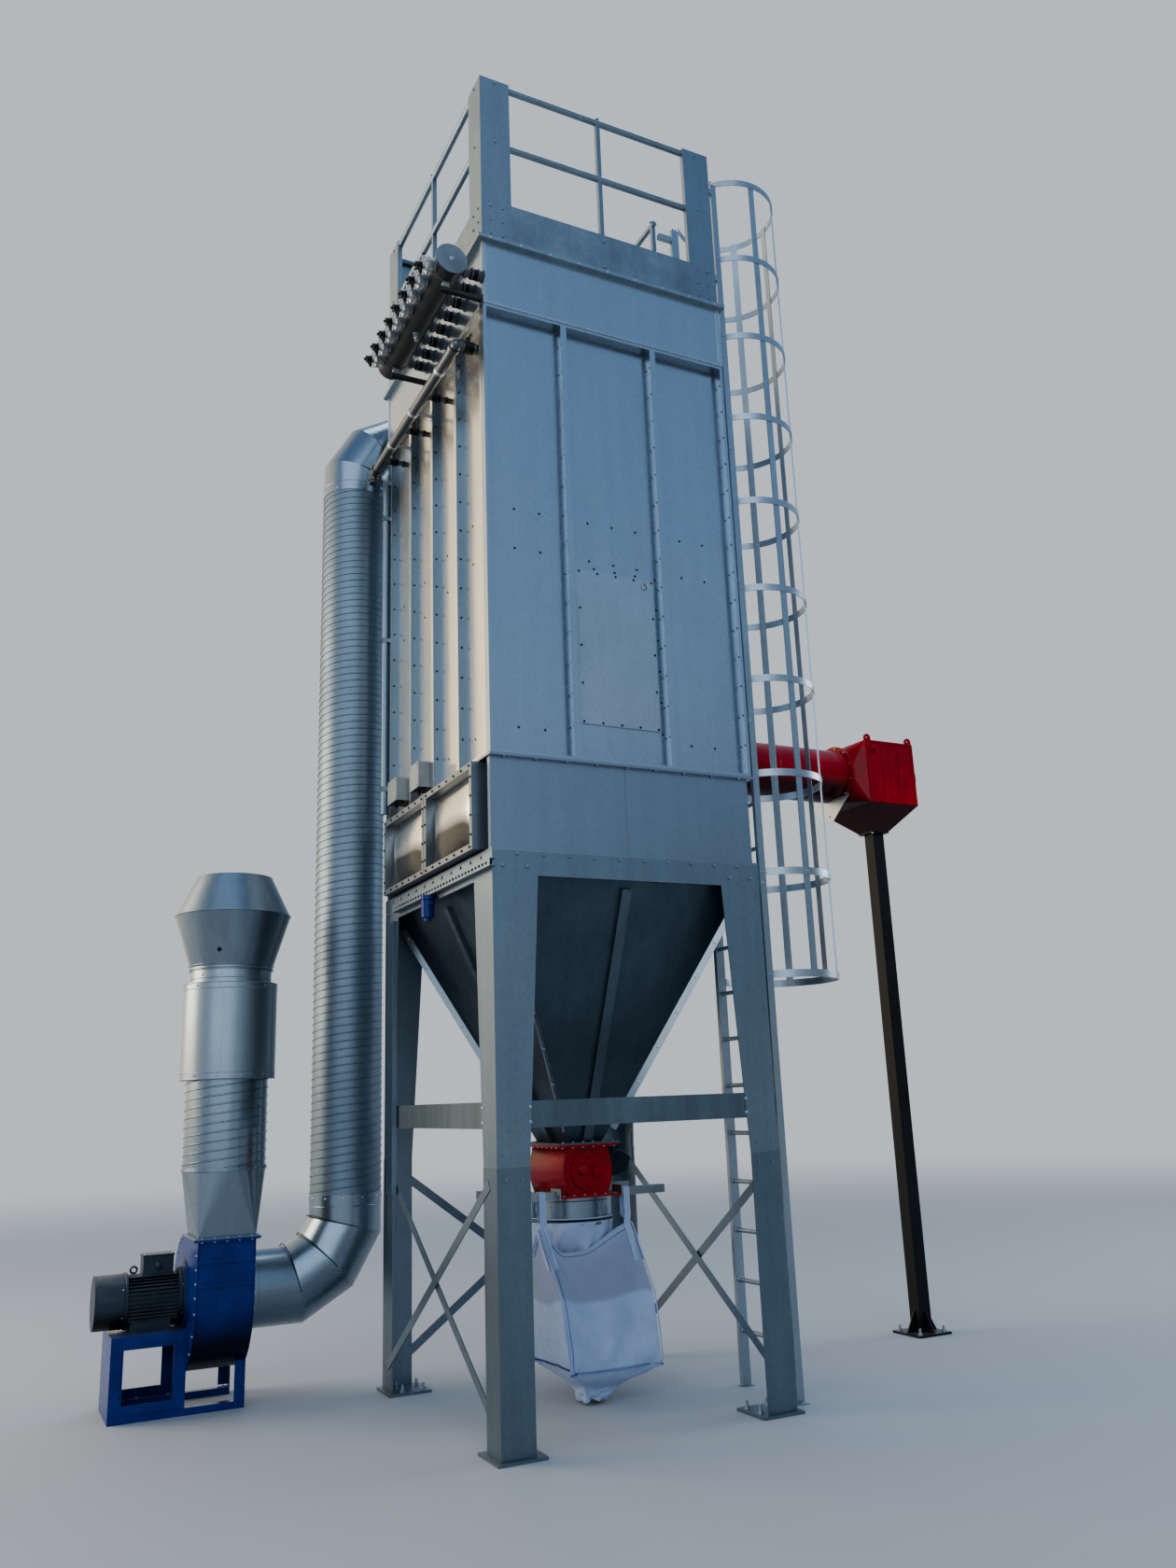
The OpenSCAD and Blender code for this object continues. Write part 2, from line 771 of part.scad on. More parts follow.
module corner_posts() {
  t = post_t;
  lip = 34;
  color("#9aa3aa") on_plan() translate([0, 0, roof_z]) corners() {
    cube([post_w, t, rail_h]);
    cube([t, post_w, rail_h]);
    translate([post_w - t, 0, toe_h]) cube([t, lip, rail_h - toe_h]);
    translate([0, post_w - t, toe_h]) cube([lip, t, rail_h - toe_h]);
  }
}

rail_in = post_t + rail_d / 2;
gate_y0 = ladder_y - ladder_w / 2 - 45;
gate_y1 = ladder_y + ladder_w / 2 + 45;

module rail_posts() {
  w = rail_d + 2;
  h = rail_h - 4;
  color("#9aa3aa") on_plan() difference() {
    translate([0, 0, roof_z]) {
      for (y = [post_t, house_d - w - post_t]) translate([cx - w / 2, y, 0]) cube([w, w, h]);
      translate([post_t, cy - w / 2, 0]) cube([w, w, h]);
      translate([house_w - w - post_t, gate_y1 - w / 2, 0]) cube([w, w, h]);
    }
    rail_lines(rail_d + 2 * seat);
  }
}

module toe_plates() {
  t = post_t;
  color("#9aa3aa") on_plan() translate([0, 0, roof_z]) {
    for (y = [0, house_d - t]) translate([post_w, y, 0]) cube([house_w - 2 * post_w, t, toe_h]);
    translate([0, post_w, 0]) cube([t, house_d - 2 * post_w, toe_h]);
    translate([house_w - t, gate_y1 - 22, 0])
      cube([t, house_d - post_w - gate_y1 + 22, toe_h]);
  }
}

module tube_x(x0, x1, y, z, d) {
  translate([x0, y, z]) rotate([0, 90, 0]) cylinder(h = x1 - x0, d = d, $fn = 40);
}

module tube_y(y0, y1, x, z, d) {
  translate([x, y0, z]) rotate([-90, 0, 0]) cylinder(h = y1 - y0, d = d, $fn = 40);
}

module rail_lines(d) {
  i = rail_in;
  for (z = [roof_z + mid_rail_z, rail_z - 25]) {
    for (y = [i, house_d - i]) tube_x(post_t, house_w - post_t, y, z, d);
    tube_y(rail_d + 10, house_d - rail_d - 10, i, z, d);
    tube_y(gate_y1 - rail_d / 2 - 2, house_d - rail_d - 10, house_w - i, z, d);
  }
}

module guard_rails() {
  color("#9aa3aa") on_plan() rail_lines(rail_d);
}

module ladder_stiles() {
  t = stile_t;
  in_w = ladder_off + pan_depth - pan_sheet;
  n = floor((pan_h - bracket_z) / bracket_pitch);
  color("#8f989f") on_plan() translate([stile_x, ladder_y, 0])
    for (s = [0, 1]) mirror([0, s, 0]) translate([0, ladder_w / 2 - t / 2, 0]) {
      translate([0, 0, t]) cube([stile_w, t, rail_z - 60]);
      translate([0, 0, t]) cube([t, stile_lip, rail_z - 60]);
      translate([-8, -20, 0]) cube([stile_w + 16, 60, t]);
      for (z = [casing_z - 90, plenum_z + 200])
        translate([-ladder_off, 0, z]) cube([ladder_off + 4, 12, 40]);
      for (i = [0 : n])
        translate([-in_w, 0, pan_z + bracket_z + i * bracket_pitch]) cube([in_w + 4, 12, 40]);
      for (z = [roof_z + 330, rail_z - 160])
        translate([-ladder_off - post_t, -4, z]) cube([ladder_off + post_t + 4, 34, 40]);
    }
}

rung_n = floor((roof_z - 320) / rung_pitch);

module ladder_rungs() {
  color("#8f989f") on_plan() for (i = [0 : rung_n])
    tube_y(ladder_y - ladder_w / 2 + stile_t / 2, ladder_y + ladder_w / 2 - stile_t / 2,
      stile_x + stile_w / 2, 300 + i * rung_pitch, rung_d);
}

hoop_ang = 180 - asin(ladder_w / 2 / hoop_r);

module cage_hoops() {
  color("#b3babf") on_plan() for (i = [0 : hoop_count - 1])
    translate([cage_x, ladder_y, hoop_z0 + i * hoop_pitch]) rotate([0, 0, -hoop_ang])
      rotate_extrude(angle = 2 * hoop_ang, $fn = 96)
        translate([hoop_r - cage_t, 0]) square([cage_t, cage_w]);
}

module cage_strips() {
  h = (hoop_count - 1) * hoop_pitch + cage_w;
  color("#b3babf") on_plan() translate([cage_x, ladder_y, hoop_z0])
    for (a = [-90, -45, 0, 45, 90]) rotate([0, 0, a])
      translate([hoop_r - 2 * cage_t, -cage_w / 2, 0]) cube([cage_t, cage_w, h]);
}

module air_header() {
  color("#3d434a") on_plan() {
    tube_y(header_y0, header_y0 + header_l, header_x, header_z, header_d);
    tube_y(header_y0 - 12, header_y0, header_x, header_z, header_d + 14);
    translate([header_x, header_y0 + header_l, header_z]) rotate([-90, 0, 0])
      cylinder(h = 40, d1 = header_d, d2 = header_d * 0.6);
  }
}

module header_brackets() {
  color("#8a9299") on_plan() for (y = [header_y0 + 110, header_y0 + header_l - 110])
    translate([header_x, y, header_z - header_d / 2 - 30]) difference() {
      translate([-40, -25, 0]) cube([header_off + 40, 50, 80]);
      translate([0, -26, header_d / 2 + 30]) rotate([-90, 0, 0]) cylinder(h = 52, d = header_d);
      translate([60, -19, -1]) cube([header_off, 38, 73]);
    }
}

module header_bore() {
  tube_y(header_y0 - 20, header_y0 + header_l + 50, header_x, header_z, header_d + 2 * seat);
}

module pulse_valves() {
  r = header_d / 2;
  color("#22262b") on_plan() difference() {
    for (i = [0 : pulse_n - 1])
      translate([header_x, pulse_y0 + i * pulse_pitch, header_z]) rotate([0, -60, 0]) {
        translate([0, 0, r - 8]) cylinder(h = 40, d = pulse_d - 44);
        translate([0, 0, r + 25]) cylinder(h = 50, d = pulse_d);
        translate([0, 0, r + 70]) cylinder(h = 62, d = coil_d);
      }
    header_bore();
  }
}

module blow_pipes() {
  r = header_d / 2;
  color("#6d757c") on_plan() difference() {
    for (i = [0 : pulse_n - 1]) {
      y = pulse_y0 + i * pulse_pitch;
      tube_x(header_x + r - 8, 0, y, header_z, blow_d);
      tube_x(header_x + r + 14, -22, y, header_z, blow_d + 16);
    }
    header_bore();
  }
}

module supply_pipe() {
  y0 = 130;
  y1 = house_d - 60;
  w = (house_d - 2 * pan_depth) / side_pans;
  color("#7c848b") on_plan() {
    tube_y(y0, y1, -supply_off, supply_z, supply_d);
    tube_x(-supply_off, wall_x, y0, supply_z, supply_d - 4);
    translate([-supply_off, y1, supply_z]) sphere(d = supply_d);
    translate([-supply_off, y0, supply_z]) sphere(d = supply_d);
    translate([-supply_off, y1, supply_z - 70]) cylinder(h = 70, d = supply_d);
    for (i = [1 : side_pans - 1])
      tube_x(-supply_off, wall_x, pan_depth + (i + 0.5) * w, supply_z, 34);
  }
}

module junction_boxes() {
  w = (house_d - 2 * pan_depth) / side_pans;
  out = 75;
  color("#9aa0a5") on_plan() {
    translate([-out, pan_depth + 2 * w + 40, pan_z + 40]) cube([out + wall_x, 165, 160]);
    translate([-out, pan_depth + 3 * w + 40, pan_z + 60]) cube([out + wall_x, 180, 150]);
  }
}

module outlet_box() {
  t = 4;
  w = out_box_w;
  d = riser_back + duct_d / 2 + 14;
  z0 = top_z - duct_d / 2 - 12;
  h = roof_z - roof_t - z0;
  color("#98a1a8") on_plan() difference() {
    translate([out_x, house_d, z0]) cube([w, d, h]);
    translate([out_x + t, house_d + t, z0 + t]) cube([w - 2 * t, d - 2 * t, h - 2 * t]);
    translate([out_x - 1, riser_y, top_z]) rotate([0, 90, 0])
      cylinder(h = t + 2, d = duct_d - 2 * duct_t);
  }
}

module duct_up(x, y, z0, z1, d) {
  translate([x, y, z0]) difference() {
    cylinder(h = z1 - z0, d = d);
    translate([0, 0, -1]) cylinder(h = z1 - z0 + 2, d = d - 2 * duct_t);
  }
}

module riser_duct() {
  color("#aab2b8") on_plan()
    duct_up(riser_x, riser_y, fan_z + bend_r, top_z - bend_r, duct_d);
}

module bend_cut(i, l0, l1) {
  far = 2 * bend_r;
  t = tan(15);
  if (i == 0)
    polygon([[0, 0], [0, -l0], [far, -l0], [far, far * t]]);
  else if (i == 3)
    polygon([[0, 0], [-l1, 0], [-l1, far], [far * t, far]]);
  else
    polygon([[0, 0], [far * cos(30 * i - 15), far * sin(30 * i - 15)],
      [far * cos(30 * i + 15), far * sin(30 * i + 15)]]);
}

module bend_body(d, l0, l1) {
  for (i = [0 : 3])
    intersection() {
      translate([0, 0, -duct_d]) linear_extrude(height = 2 * duct_d) bend_cut(i, l0, l1);
      rotate([0, 0, 30 * i]) translate([bend_r, 0, 0]) rotate([-90, 0, 0])
        translate([0, 0, -duct_d]) cylinder(h = 2 * duct_d, d = d);
    }
}

module mitre_bend(l0, l1) {
  difference() {
    bend_body(duct_d, l0, l1);
    bend_body(duct_d - 2 * duct_t, l0 + 1, l1 + 1);
  }
}

module riser_elbows() {
  color("#b4bcc2") on_plan() {
    translate([riser_x - bend_r, riser_y, fan_z + bend_r]) rotate([90, 0, 0])
      rotate([0, 0, -90]) mitre_bend(fan_gap, 0);
    translate([riser_x + bend_r, riser_y, top_z - bend_r]) rotate([90, 0, 0])
      rotate([0, 0, 90]) mitre_bend(out_gap, 0);
  }
}

module quarter(r, y0, z0, sy, sz, w) {
  intersection() {
    translate([0, y0, z0]) rotate([0, 90, 0]) cylinder(h = w, r = r, $fn = 128);
    translate([0, sy > 0 ? y0 : y0 - 2 * r, sz > 0 ? z0 : z0 - 2 * r]) cube([w, 2 * r, 2 * r]);
  }
}

module scroll(w, o) {
  r = scroll_r + o;
  s = scroll_s;
  y = scroll_y;
  z = scroll_z;
  quarter(r, y, z, 1, 1, w);
  quarter(r + s, y - s, z, 1, -1, w);
  quarter(r + 2 * s, y - s, z + s, -1, -1, w);
  translate([0, fan_front - o, z + s]) cube([w, y - fan_front + o, scroll_r - s]);
  translate([0, y - s, z]) cube([w, s, s]);
}

module fan_casing() {
  color("#1c3f8f") on_plan() {
    translate([fan_x0, 0, 0]) scroll(fan_w, 0);
    translate([fan_x0, 0, 0]) scroll(5, 12);
    translate([fan_x1 - 5, 0, 0]) scroll(5, 12);
    translate([fan_x0 - 25, fan_front - 25, disch_z]) cube([fan_w + 50, disch_d + 50, 12]);
  }
}

module fan_base() {
  ty = base_w;
  y0 = riser_y - ty / 2;
  x0 = motor_x0 + 90;
  tw = fan_x0 - x0;
  tz = fan_z - motor_d / 2 - 12;
  color("#1c3f8f") on_plan() {
    translate([x0, y0, tz - 8]) cube([tw, ty, 8]);
    for (y = [y0, y0 + ty - 6]) difference() {
      translate([x0, y, 0]) cube([tw, 6, tz - 8]);
      translate([x0 + 70, y - 1, 90]) cube([tw - 140, 8, tz - 160]);
    }
    translate([x0, y0, 0]) cube([6, ty, tz - 8]);
    for (y = [y0, y0 + ty - 50]) translate([x0, y, 0]) cube([fan_x1 - x0, 50, 40]);
    for (y = [y0, y0 + ty - 8]) translate([fan_x1, y, 0]) cube([8, 50, 330]);
    for (y = [y0, y0 + ty - 8]) translate([fan_x0 - 8, y, 0]) cube([8, 50, 330]);
  }
}

module fan_motor() {
  r = motor_d / 2;
  color("#3b4450") on_plan() translate([motor_x0, riser_y, fan_z]) {
    rotate([0, 90, 0]) cylinder(h = 165, r = r);
    translate([165, 0, 0]) rotate([0, 90, 0]) cylinder(h = motor_l - 180, r = r - 10);
    translate([motor_l - 20, 0, 0]) rotate([0, 90, 0]) cylinder(h = 20, r = r + 12);
    translate([260, -70, r - 20]) cube([170, 140, 110]);
    translate([200, -115, -r - 12]) cube([220, 60, 60]);
    translate([200, 55, -r - 12]) cube([220, 60, 60]);
  }
}

module stack_transition() {
  w = fan_w;
  color("#b4bcc2") on_plan() translate([fan_cx, stack_y, trans_z]) difference() {
    hull() {
      translate([-w / 2, -disch_d / 2, 0]) cube([w, disch_d, 4]);
      translate([0, 0, trans_h - 4]) cylinder(h = 4, d = stack_d, $fn = 48);
    }
    translate([0, 0, -0.1]) hull() {
      translate([-w / 2 + 3, -disch_d / 2 + 3, 0]) cube([w - 6, disch_d - 6, 4]);
      translate([0, 0, trans_h - 3.8]) cylinder(h = 4, d = stack_d - 6, $fn = 48);
    }
  }
}

module stack_duct() {
  color("#aab2b8") on_plan() duct_up(fan_cx, stack_y, stack_z, silencer_z, stack_d);
}

module silencer() {
  color("#b9c0c4") on_plan() {
    duct_up(fan_cx, stack_y, silencer_z, collar_z, silencer_d);
    duct_up(fan_cx, stack_y, silencer_z, cowl_z, stack_d);
    translate([fan_cx, stack_y, 0]) for (z = [silencer_z, collar_z - 4]) difference() {
      translate([0, 0, z]) cylinder(h = 4, d = silencer_d);
      translate([0, 0, z - 1]) cylinder(h = 6, d = stack_d - 2 * duct_t);
    }
  }
}

module jet_cowl() {
  t = 2 * duct_t;
  d0 = stack_d + 10;
  d2 = 460;
  color("#a3abb1") on_plan() translate([fan_cx, stack_y, cowl_z]) {
    difference() {
      cylinder(h = cowl_low_h, d1 = d0, d2 = cowl_d);
      translate([0, 0, -0.1]) cylinder(h = cowl_low_h + 0.2, d1 = d0 - t, d2 = cowl_d - t);
    }
    translate([0, 0, cowl_low_h]) difference() {
      cylinder(h = cowl_top_h, d1 = cowl_d, d2 = d2);
      translate([0, 0, -0.1]) cylinder(h = cowl_top_h + 0.2, d1 = cowl_d - t, d2 = d2 - t);
    }
    difference() {
      translate([0, 0, -14]) cylinder(h = 20, d = d0 + 6);
      translate([0, 0, -15]) cylinder(h = 24, d = stack_d + 0.4);
    }
  }
}

module inlet_pipe() {
  x0 = house_w - pan_depth;
  color("#c4161c") on_plan() translate([x0, inlet_y, inlet_z]) rotate([0, 90, 0]) difference() {
    union() {
      cylinder(h = flap_x0 - x0, d = inlet_d);
      cylinder(h = 8, d = inlet_d + 60);
      translate([0, 0, flap_x0 - x0 - 10]) cylinder(h = 10, d = inlet_d + 70);
    }
    translate([0, 0, -1]) cylinder(h = flap_x0 - x0 + 2, d = inlet_d - 2 * duct_t);
  }
}

module lug() {
  translate([-30, 0, -1]) cube([60, 12, 26]);
  rotate([-90, 0, 0]) translate([0, -25, 0]) difference() {
    cylinder(h = 12, d = 60);
    translate([0, 0, -1]) cylinder(h = 14, d = 24);
  }
}

module inlet_saddle() {
  t = 6;
  r = inlet_d / 2;
  color("#aeb4b6") on_plan() translate([flap_x0 - 70, inlet_y, inlet_z]) difference() {
    rotate([90, 0, 90]) linear_extrude(height = t)
      polygon([[-r - 40, 10 - r], [r + 40, 10 - r], [40, -r - 150], [-40, -r - 150]]);
    translate([-1, 0, 0]) rotate([0, 90, 0]) cylinder(h = t + 2, d = inlet_d + 0.4);
  }
}

module flap_valve() {
  b = flap_w;
  c = flap_cone;
  color("#c4161c") on_plan() translate([flap_x0, inlet_y, inlet_z]) difference() {
    union() {
      rotate([0, 90, 0]) cylinder(h = 10, d = inlet_d + 70);
      hull() {
        translate([10, 0, 0]) rotate([0, 90, 0]) cylinder(h = 2, d = inlet_d + 10, $fn = 48);
        translate([c - 2, -b / 2, -b / 2 + 30]) cube([2, b, b - 60]);
      }
      translate([c, -b / 2, -b / 2 + 30]) cube([flap_l, b, b - 60]);
      translate([c + flap_l / 2, 0, -b / 2 + 30 - flap_taper])
        frustum(prop_w + 60, prop_w + 60, flap_l, b, flap_taper);
      translate([c + flap_l, 0, 0]) rotate([0, 90, 0]) cylinder(h = flap_end, d = inlet_d);
      for (y = [20 - b / 2, b / 2 - 32]) translate([c + 40, y, b / 2 - 30]) lug();
      translate([c + flap_l - 20, 20 - b / 2, b / 2 - 30]) lug();
    }
    translate([-1, 0, 0]) rotate([0, 90, 0])
      cylinder(h = c + flap_l + flap_end + 2, d = inlet_d - 2 * duct_t);
  }
}

module inlet_prop() {
  px = flap_box_x + flap_l / 2;
  w = prop_w;
  f = prop_foot;
  p = prop_anchor / 2;
  color("#15181b") on_plan() translate([px, inlet_y, 0]) {
    difference() {
      translate([-f / 2, -f / 2, 0]) cube([f, f, foot_t]);
      for (a = [-1, 1]) for (b = [-1, 1])
        translate([a * p, b * p, -1]) cylinder(h = foot_t + 2, r = anchor_r, $fn = 32);
    }
    translate([-w / 2, -w / 2, foot_t]) cube([w, w, prop_z - 12 - foot_t]);
    translate([-w / 2 - 30, -w / 2 - 30, prop_z - 12]) cube([w + 60, w + 60, 12]);
    for (a = [0, 90]) rotate([0, 0, a]) rotate([90, 0, 0]) translate([0, 0, -4])
      linear_extrude(height = 8)
        polygon([[10 - f / 2, foot_t], [f / 2 - 10, foot_t], [w / 2, 160], [-w / 2, 160]]);
  }
}

foot_plates();
legs();
ring_beam();
cross_beams();
braces();
hopper();
hopper_flanges();
hopper_ribs();
rotary_valve();
valve_drive();
chute();
bag_arms();
bulk_bag();
lower_band();
bag_chamber();
front_pans();
left_pans();
right_pans();
rear_pans();
plenum();
roof_plate();
roof_lids();
access_door();
vent_frames();
vent_domes();
cable_tray();
leg_tray();
level_sensor();
corner_conduit();
corner_posts();
rail_posts();
toe_plates();
guard_rails();
ladder_stiles();
ladder_rungs();
cage_hoops();
cage_strips();
air_header();
header_brackets();
pulse_valves();
blow_pipes();
supply_pipe();
junction_boxes();
outlet_box();
riser_duct();
riser_elbows();
fan_casing();
fan_base();
fan_motor();
stack_transition();
stack_duct();
silencer();
jet_cowl();
inlet_pipe();
inlet_saddle();
flap_valve();
inlet_prop();
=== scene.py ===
import math
from itertools import product

import bmesh
import bpy
from mathutils import Matrix, Vector


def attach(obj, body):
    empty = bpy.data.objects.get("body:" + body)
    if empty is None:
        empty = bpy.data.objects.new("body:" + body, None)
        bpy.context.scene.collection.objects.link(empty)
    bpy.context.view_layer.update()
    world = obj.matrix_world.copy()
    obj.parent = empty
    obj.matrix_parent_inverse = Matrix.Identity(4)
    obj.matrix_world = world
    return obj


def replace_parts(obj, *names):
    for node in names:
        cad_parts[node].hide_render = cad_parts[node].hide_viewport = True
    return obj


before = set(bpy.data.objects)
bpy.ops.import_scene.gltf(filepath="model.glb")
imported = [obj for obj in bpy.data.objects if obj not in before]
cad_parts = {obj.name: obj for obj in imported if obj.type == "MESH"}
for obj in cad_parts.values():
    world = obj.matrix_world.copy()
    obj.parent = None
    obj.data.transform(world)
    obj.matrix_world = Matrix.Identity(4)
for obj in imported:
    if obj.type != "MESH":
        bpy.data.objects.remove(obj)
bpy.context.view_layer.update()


# Camera, light and floor: a studio with a pale floor. The camera stands low in front
# of the filter's left corner and looks up. The light is cool from the front and above,
# and a little warm from behind on the left, as on a clear evening.
def node(tree, kind, sockets={}, **settings):
    """A shader node; sockets gives each input a value, or the output that feeds it."""
    added = tree.nodes.new("ShaderNode" + kind)
    for name, value in settings.items():
        setattr(added, name, value)
    feed(tree, added, sockets)
    return added


def feed(tree, target, sockets):
    """Sets inputs of a node to values, or links outputs to them."""
    for key, value in sockets.items():
        if isinstance(value, bpy.types.NodeSocket):
            tree.links.new(value, target.inputs[key])
        else:
            target.inputs[key].default_value = value


def ramp(tree, source, *stops):
    """A colour ramp fed by source; stops are (position, colour)."""
    added = node(tree, "ValToRGB", {0: source})
    first, last = added.color_ramp.elements
    first.position, first.color = stops[0][0], (*stops[0][1], 1)
    last.position, last.color = stops[-1][0], (*stops[-1][1], 1)
    for at, colour in stops[1:-1]:
        added.color_ramp.elements.new(at).color = (*colour, 1)
    return added.outputs[0]


def plain_material(name):
    """A new node material with its tree and its surface node."""
    material = bpy.data.materials.new(name)
    material.use_nodes = True
    return material, material.node_tree, material.node_tree.nodes["Principled BSDF"]


camera = bpy.data.objects.new("camera", bpy.data.cameras.new("camera"))
bpy.context.scene.collection.objects.link(camera)
bpy.context.scene.camera = camera
bpy.context.scene.view_settings.look = "AgX - Medium High Contrast"
camera.data.sensor_width = 36
camera.data.lens = 27.79
camera.data.clip_end = 200
sight = Matrix(((0.8952, -0.4443, -0.0358), (-0.0807, -0.2407, 0.9672), (-0.4383, -0.8630, -0.2513)))
camera.matrix_world = Matrix.Translation((-3.5425, -7.0675, 1.654)) @ sight.transposed().to_4x4()

for name, place, aim, size, power, colour in (
    ("front_softbox", (-7.0, -10.0, 9.0), (0, 0, 3.5), 15.0, 700, (0.86, 0.93, 1.0)),
    ("right_softbox", (11.5, -1.0, 6.0), (0, 0, 3.5), 5.0, 300, (0.84, 0.92, 1.0)),
    ("left_softbox", (-10.0, 5.0, 5.5), (0, 0, 3.5), 6.0, 620, (1.0, 0.87, 0.70)),
    ("top_softbox", (1.0, 1.0, 14.0), (0, 0, 4.0), 6.0, 340, (0.92, 0.96, 1.0)),
):
    lamp = bpy.data.objects.new(name, bpy.data.lights.new(name, "AREA"))
    bpy.context.scene.collection.objects.link(lamp)
    lamp.data.size = size
    lamp.data.energy = power
    lamp.data.color = colour
    lamp.location = place
    lamp.rotation_euler = (Vector(aim) - Vector(place)).to_track_quat("-Z", "Y").to_euler()

world = bpy.data.worlds.new("studio")
bpy.context.scene.world = world
world.use_nodes = True
sky = world.node_tree
ray = node(sky, "TexCoord").outputs["Generated"]
slope = node(sky, "SeparateXYZ", {0: ray}).outputs["Z"]
lift = node(sky, "Math", {0: slope, 1: 0.5, 2: 0.5}, operation="MULTIPLY_ADD")
height = ramp(sky, lift.outputs[0], (0.40, (0.10, 0.12, 0.14)), (0.50, (0.45, 0.50, 0.55)),
              (0.56, (0.50, 0.60, 0.72)), (0.72, (0.28, 0.44, 0.66)), (1.0, (0.17, 0.30, 0.52)))


def toward(way, start, end):
    """How far a ray points that way, from none at start to all at end."""
    along = node(sky, "VectorMath", {0: ray, 1: way}, operation="DOT_PRODUCT").outputs["Value"]
    return node(sky, "MapRange", {"From Min": start, "From Max": end, "Value": along}).outputs["Result"]


def blended(share, base, colour):
    """The base colour with a share of another colour in it."""
    return node(sky, "Mix", {"Factor": share, "A": base, "B": (*colour, 1)}, data_type="RGBA").outputs["Result"]


warm = blended(toward((-0.62, 0.77, 0.12), 0.42, 1.0), height, (1.5, 1.25, 0.90))
low_down = node(sky, "MapRange", {"From Min": 0.34, "From Max": 0.10, "Value": slope}).outputs["Result"]
flagged = node(sky, "Math", {0: toward((0.76, -0.65, 0), 0.86, 0.97), 1: low_down}, operation="MULTIPLY").outputs[0]
dark_side = blended(flagged, warm, (0.03, 0.045, 0.055))
backdrop_colour, backdrop_strength = (0.62, 0.66, 0.70), 0.85
backdrop = blended(node(sky, "LightPath").outputs["Is Camera Ray"], dark_side, backdrop_colour)
feed(sky, sky.nodes["Background"], {"Color": backdrop, "Strength": backdrop_strength})

floor_mesh = bpy.data.meshes.new("floor")
floor_mesh.from_pydata([(-60, -60, 0), (60, -60, 0), (60, 60, 0), (-60, 60, 0)], [], [(0, 1, 2, 3)])
floor = bpy.data.objects.new("floor", floor_mesh)
bpy.context.scene.collection.objects.link(floor)
floor_paint, floor_tree, floor_skin = plain_material("floor_paint")
feed(floor_tree, floor_skin, {"Base Color": (0.42, 0.43, 0.44, 1), "Roughness": 0.75})
away = node(floor_tree, "VectorMath", {0: node(floor_tree, "TexCoord").outputs["Object"]}, operation="LENGTH")
haze = node(floor_tree, "MapRange", {"From Min": 5, "From Max": 26, "Value": away.outputs["Value"]},
            interpolation_type="SMOOTHSTEP")
glare = node(floor_tree, "Emission", {"Color": (*backdrop_colour, 1), "Strength": backdrop_strength})
blend = node(floor_tree, "MixShader", {"Fac": haze.outputs["Result"], 1: floor_skin.outputs[0], 2: glare.outputs[0]})
feed(floor_tree, floor_tree.nodes["Material Output"], {"Surface": blend.outputs[0]})
floor_mesh.materials.append(floor_paint)


# Foot plates: thick galvanised steel squares under the four legs. Each is held to the
# slab by four threaded anchors with a washer and a nut.
LEFT, RIGHT, FRONT, BACK, DOWN, UP = (-1, 0, 0), (1, 0, 0), (0, -1, 0), (0, 1, 0), (0, 0, -1), (0, 0, 1)


def spot(x, y, z):
    """A point in metres, from millimetres off the filter's front left corner at the floor."""
    return Vector((x - 1159.5, y - 1222.5, z)) / 1000


def zinc(name, colour, rough, spangle=14, cloud=0.18, runs=0.0, wave=0.0):
    """Galvanised steel: zinc flakes of spangle mm, dull clouds, rain runs and a slight wave in the sheet."""
    steel, tree, skin = plain_material(name)
    place = node(tree, "TexCoord").outputs["Object"]
    flakes = node(tree, "TexVoronoi", {"Scale": 1000 / spangle, "Vector": place})
    flake = node(tree, "SeparateColor", {0: flakes.outputs["Color"]})
    clouds = node(tree, "TexNoise", {"Scale": 2.4, "Detail": 6, "Roughness": 0.62, "Vector": place}).outputs[0]
    stretch = node(tree, "Mapping", {"Scale": (9, 9, 0.7), "Vector": place})
    drips = node(tree, "TexNoise", {"Scale": 1.6, "Detail": 5, "Vector": stretch.outputs[0]})

    def shade(source, low, high):
        return node(tree, "MapRange", {"From Min": 0.3, "From Max": 0.7, "To Min": low, "To Max": high,
                                       "Value": source}).outputs["Result"]

    def times(a, b):
        return node(tree, "Math", {0: a, 1: b}, operation="MULTIPLY").outputs[0]

    tone = times(shade(flake.outputs[0], 0.965, 1.02), shade(clouds, 1 - cloud, 1 + cloud * 0.3))
    tone = times(tone, shade(drips.outputs[0], 1 - runs, 1 + runs * 0.4))
    coat = node(tree, "VectorMath", {0: colour, "Scale": tone}, operation="SCALE")
    swell = node(tree, "TexNoise", {"Scale": 1.7, "Detail": 1, "Vector": place})
    grain = node(tree, "TexNoise", {"Scale": 160, "Vector": place})
    bow = node(tree, "Bump", {"Distance": 0.02, "Strength": 0.05 + wave, "Height": swell.outputs[0]})
    fine = node(tree, "Bump", {"Distance": 0.0004, "Strength": 0.04, "Height": grain.outputs[0],
                               "Normal": bow.outputs[0]})
    feed(tree, skin, {"Metallic": 0.92, "Base Color": coat.outputs[0], "Normal": fine.outputs[0],
                      "Roughness": shade(clouds, rough + 0.04, rough - 0.03)})
    return steel


def dress(material, *names):
    """Gives CAD nodes their real finish."""
    for name in names:
        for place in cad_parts[name].material_slots:
            place.material = material


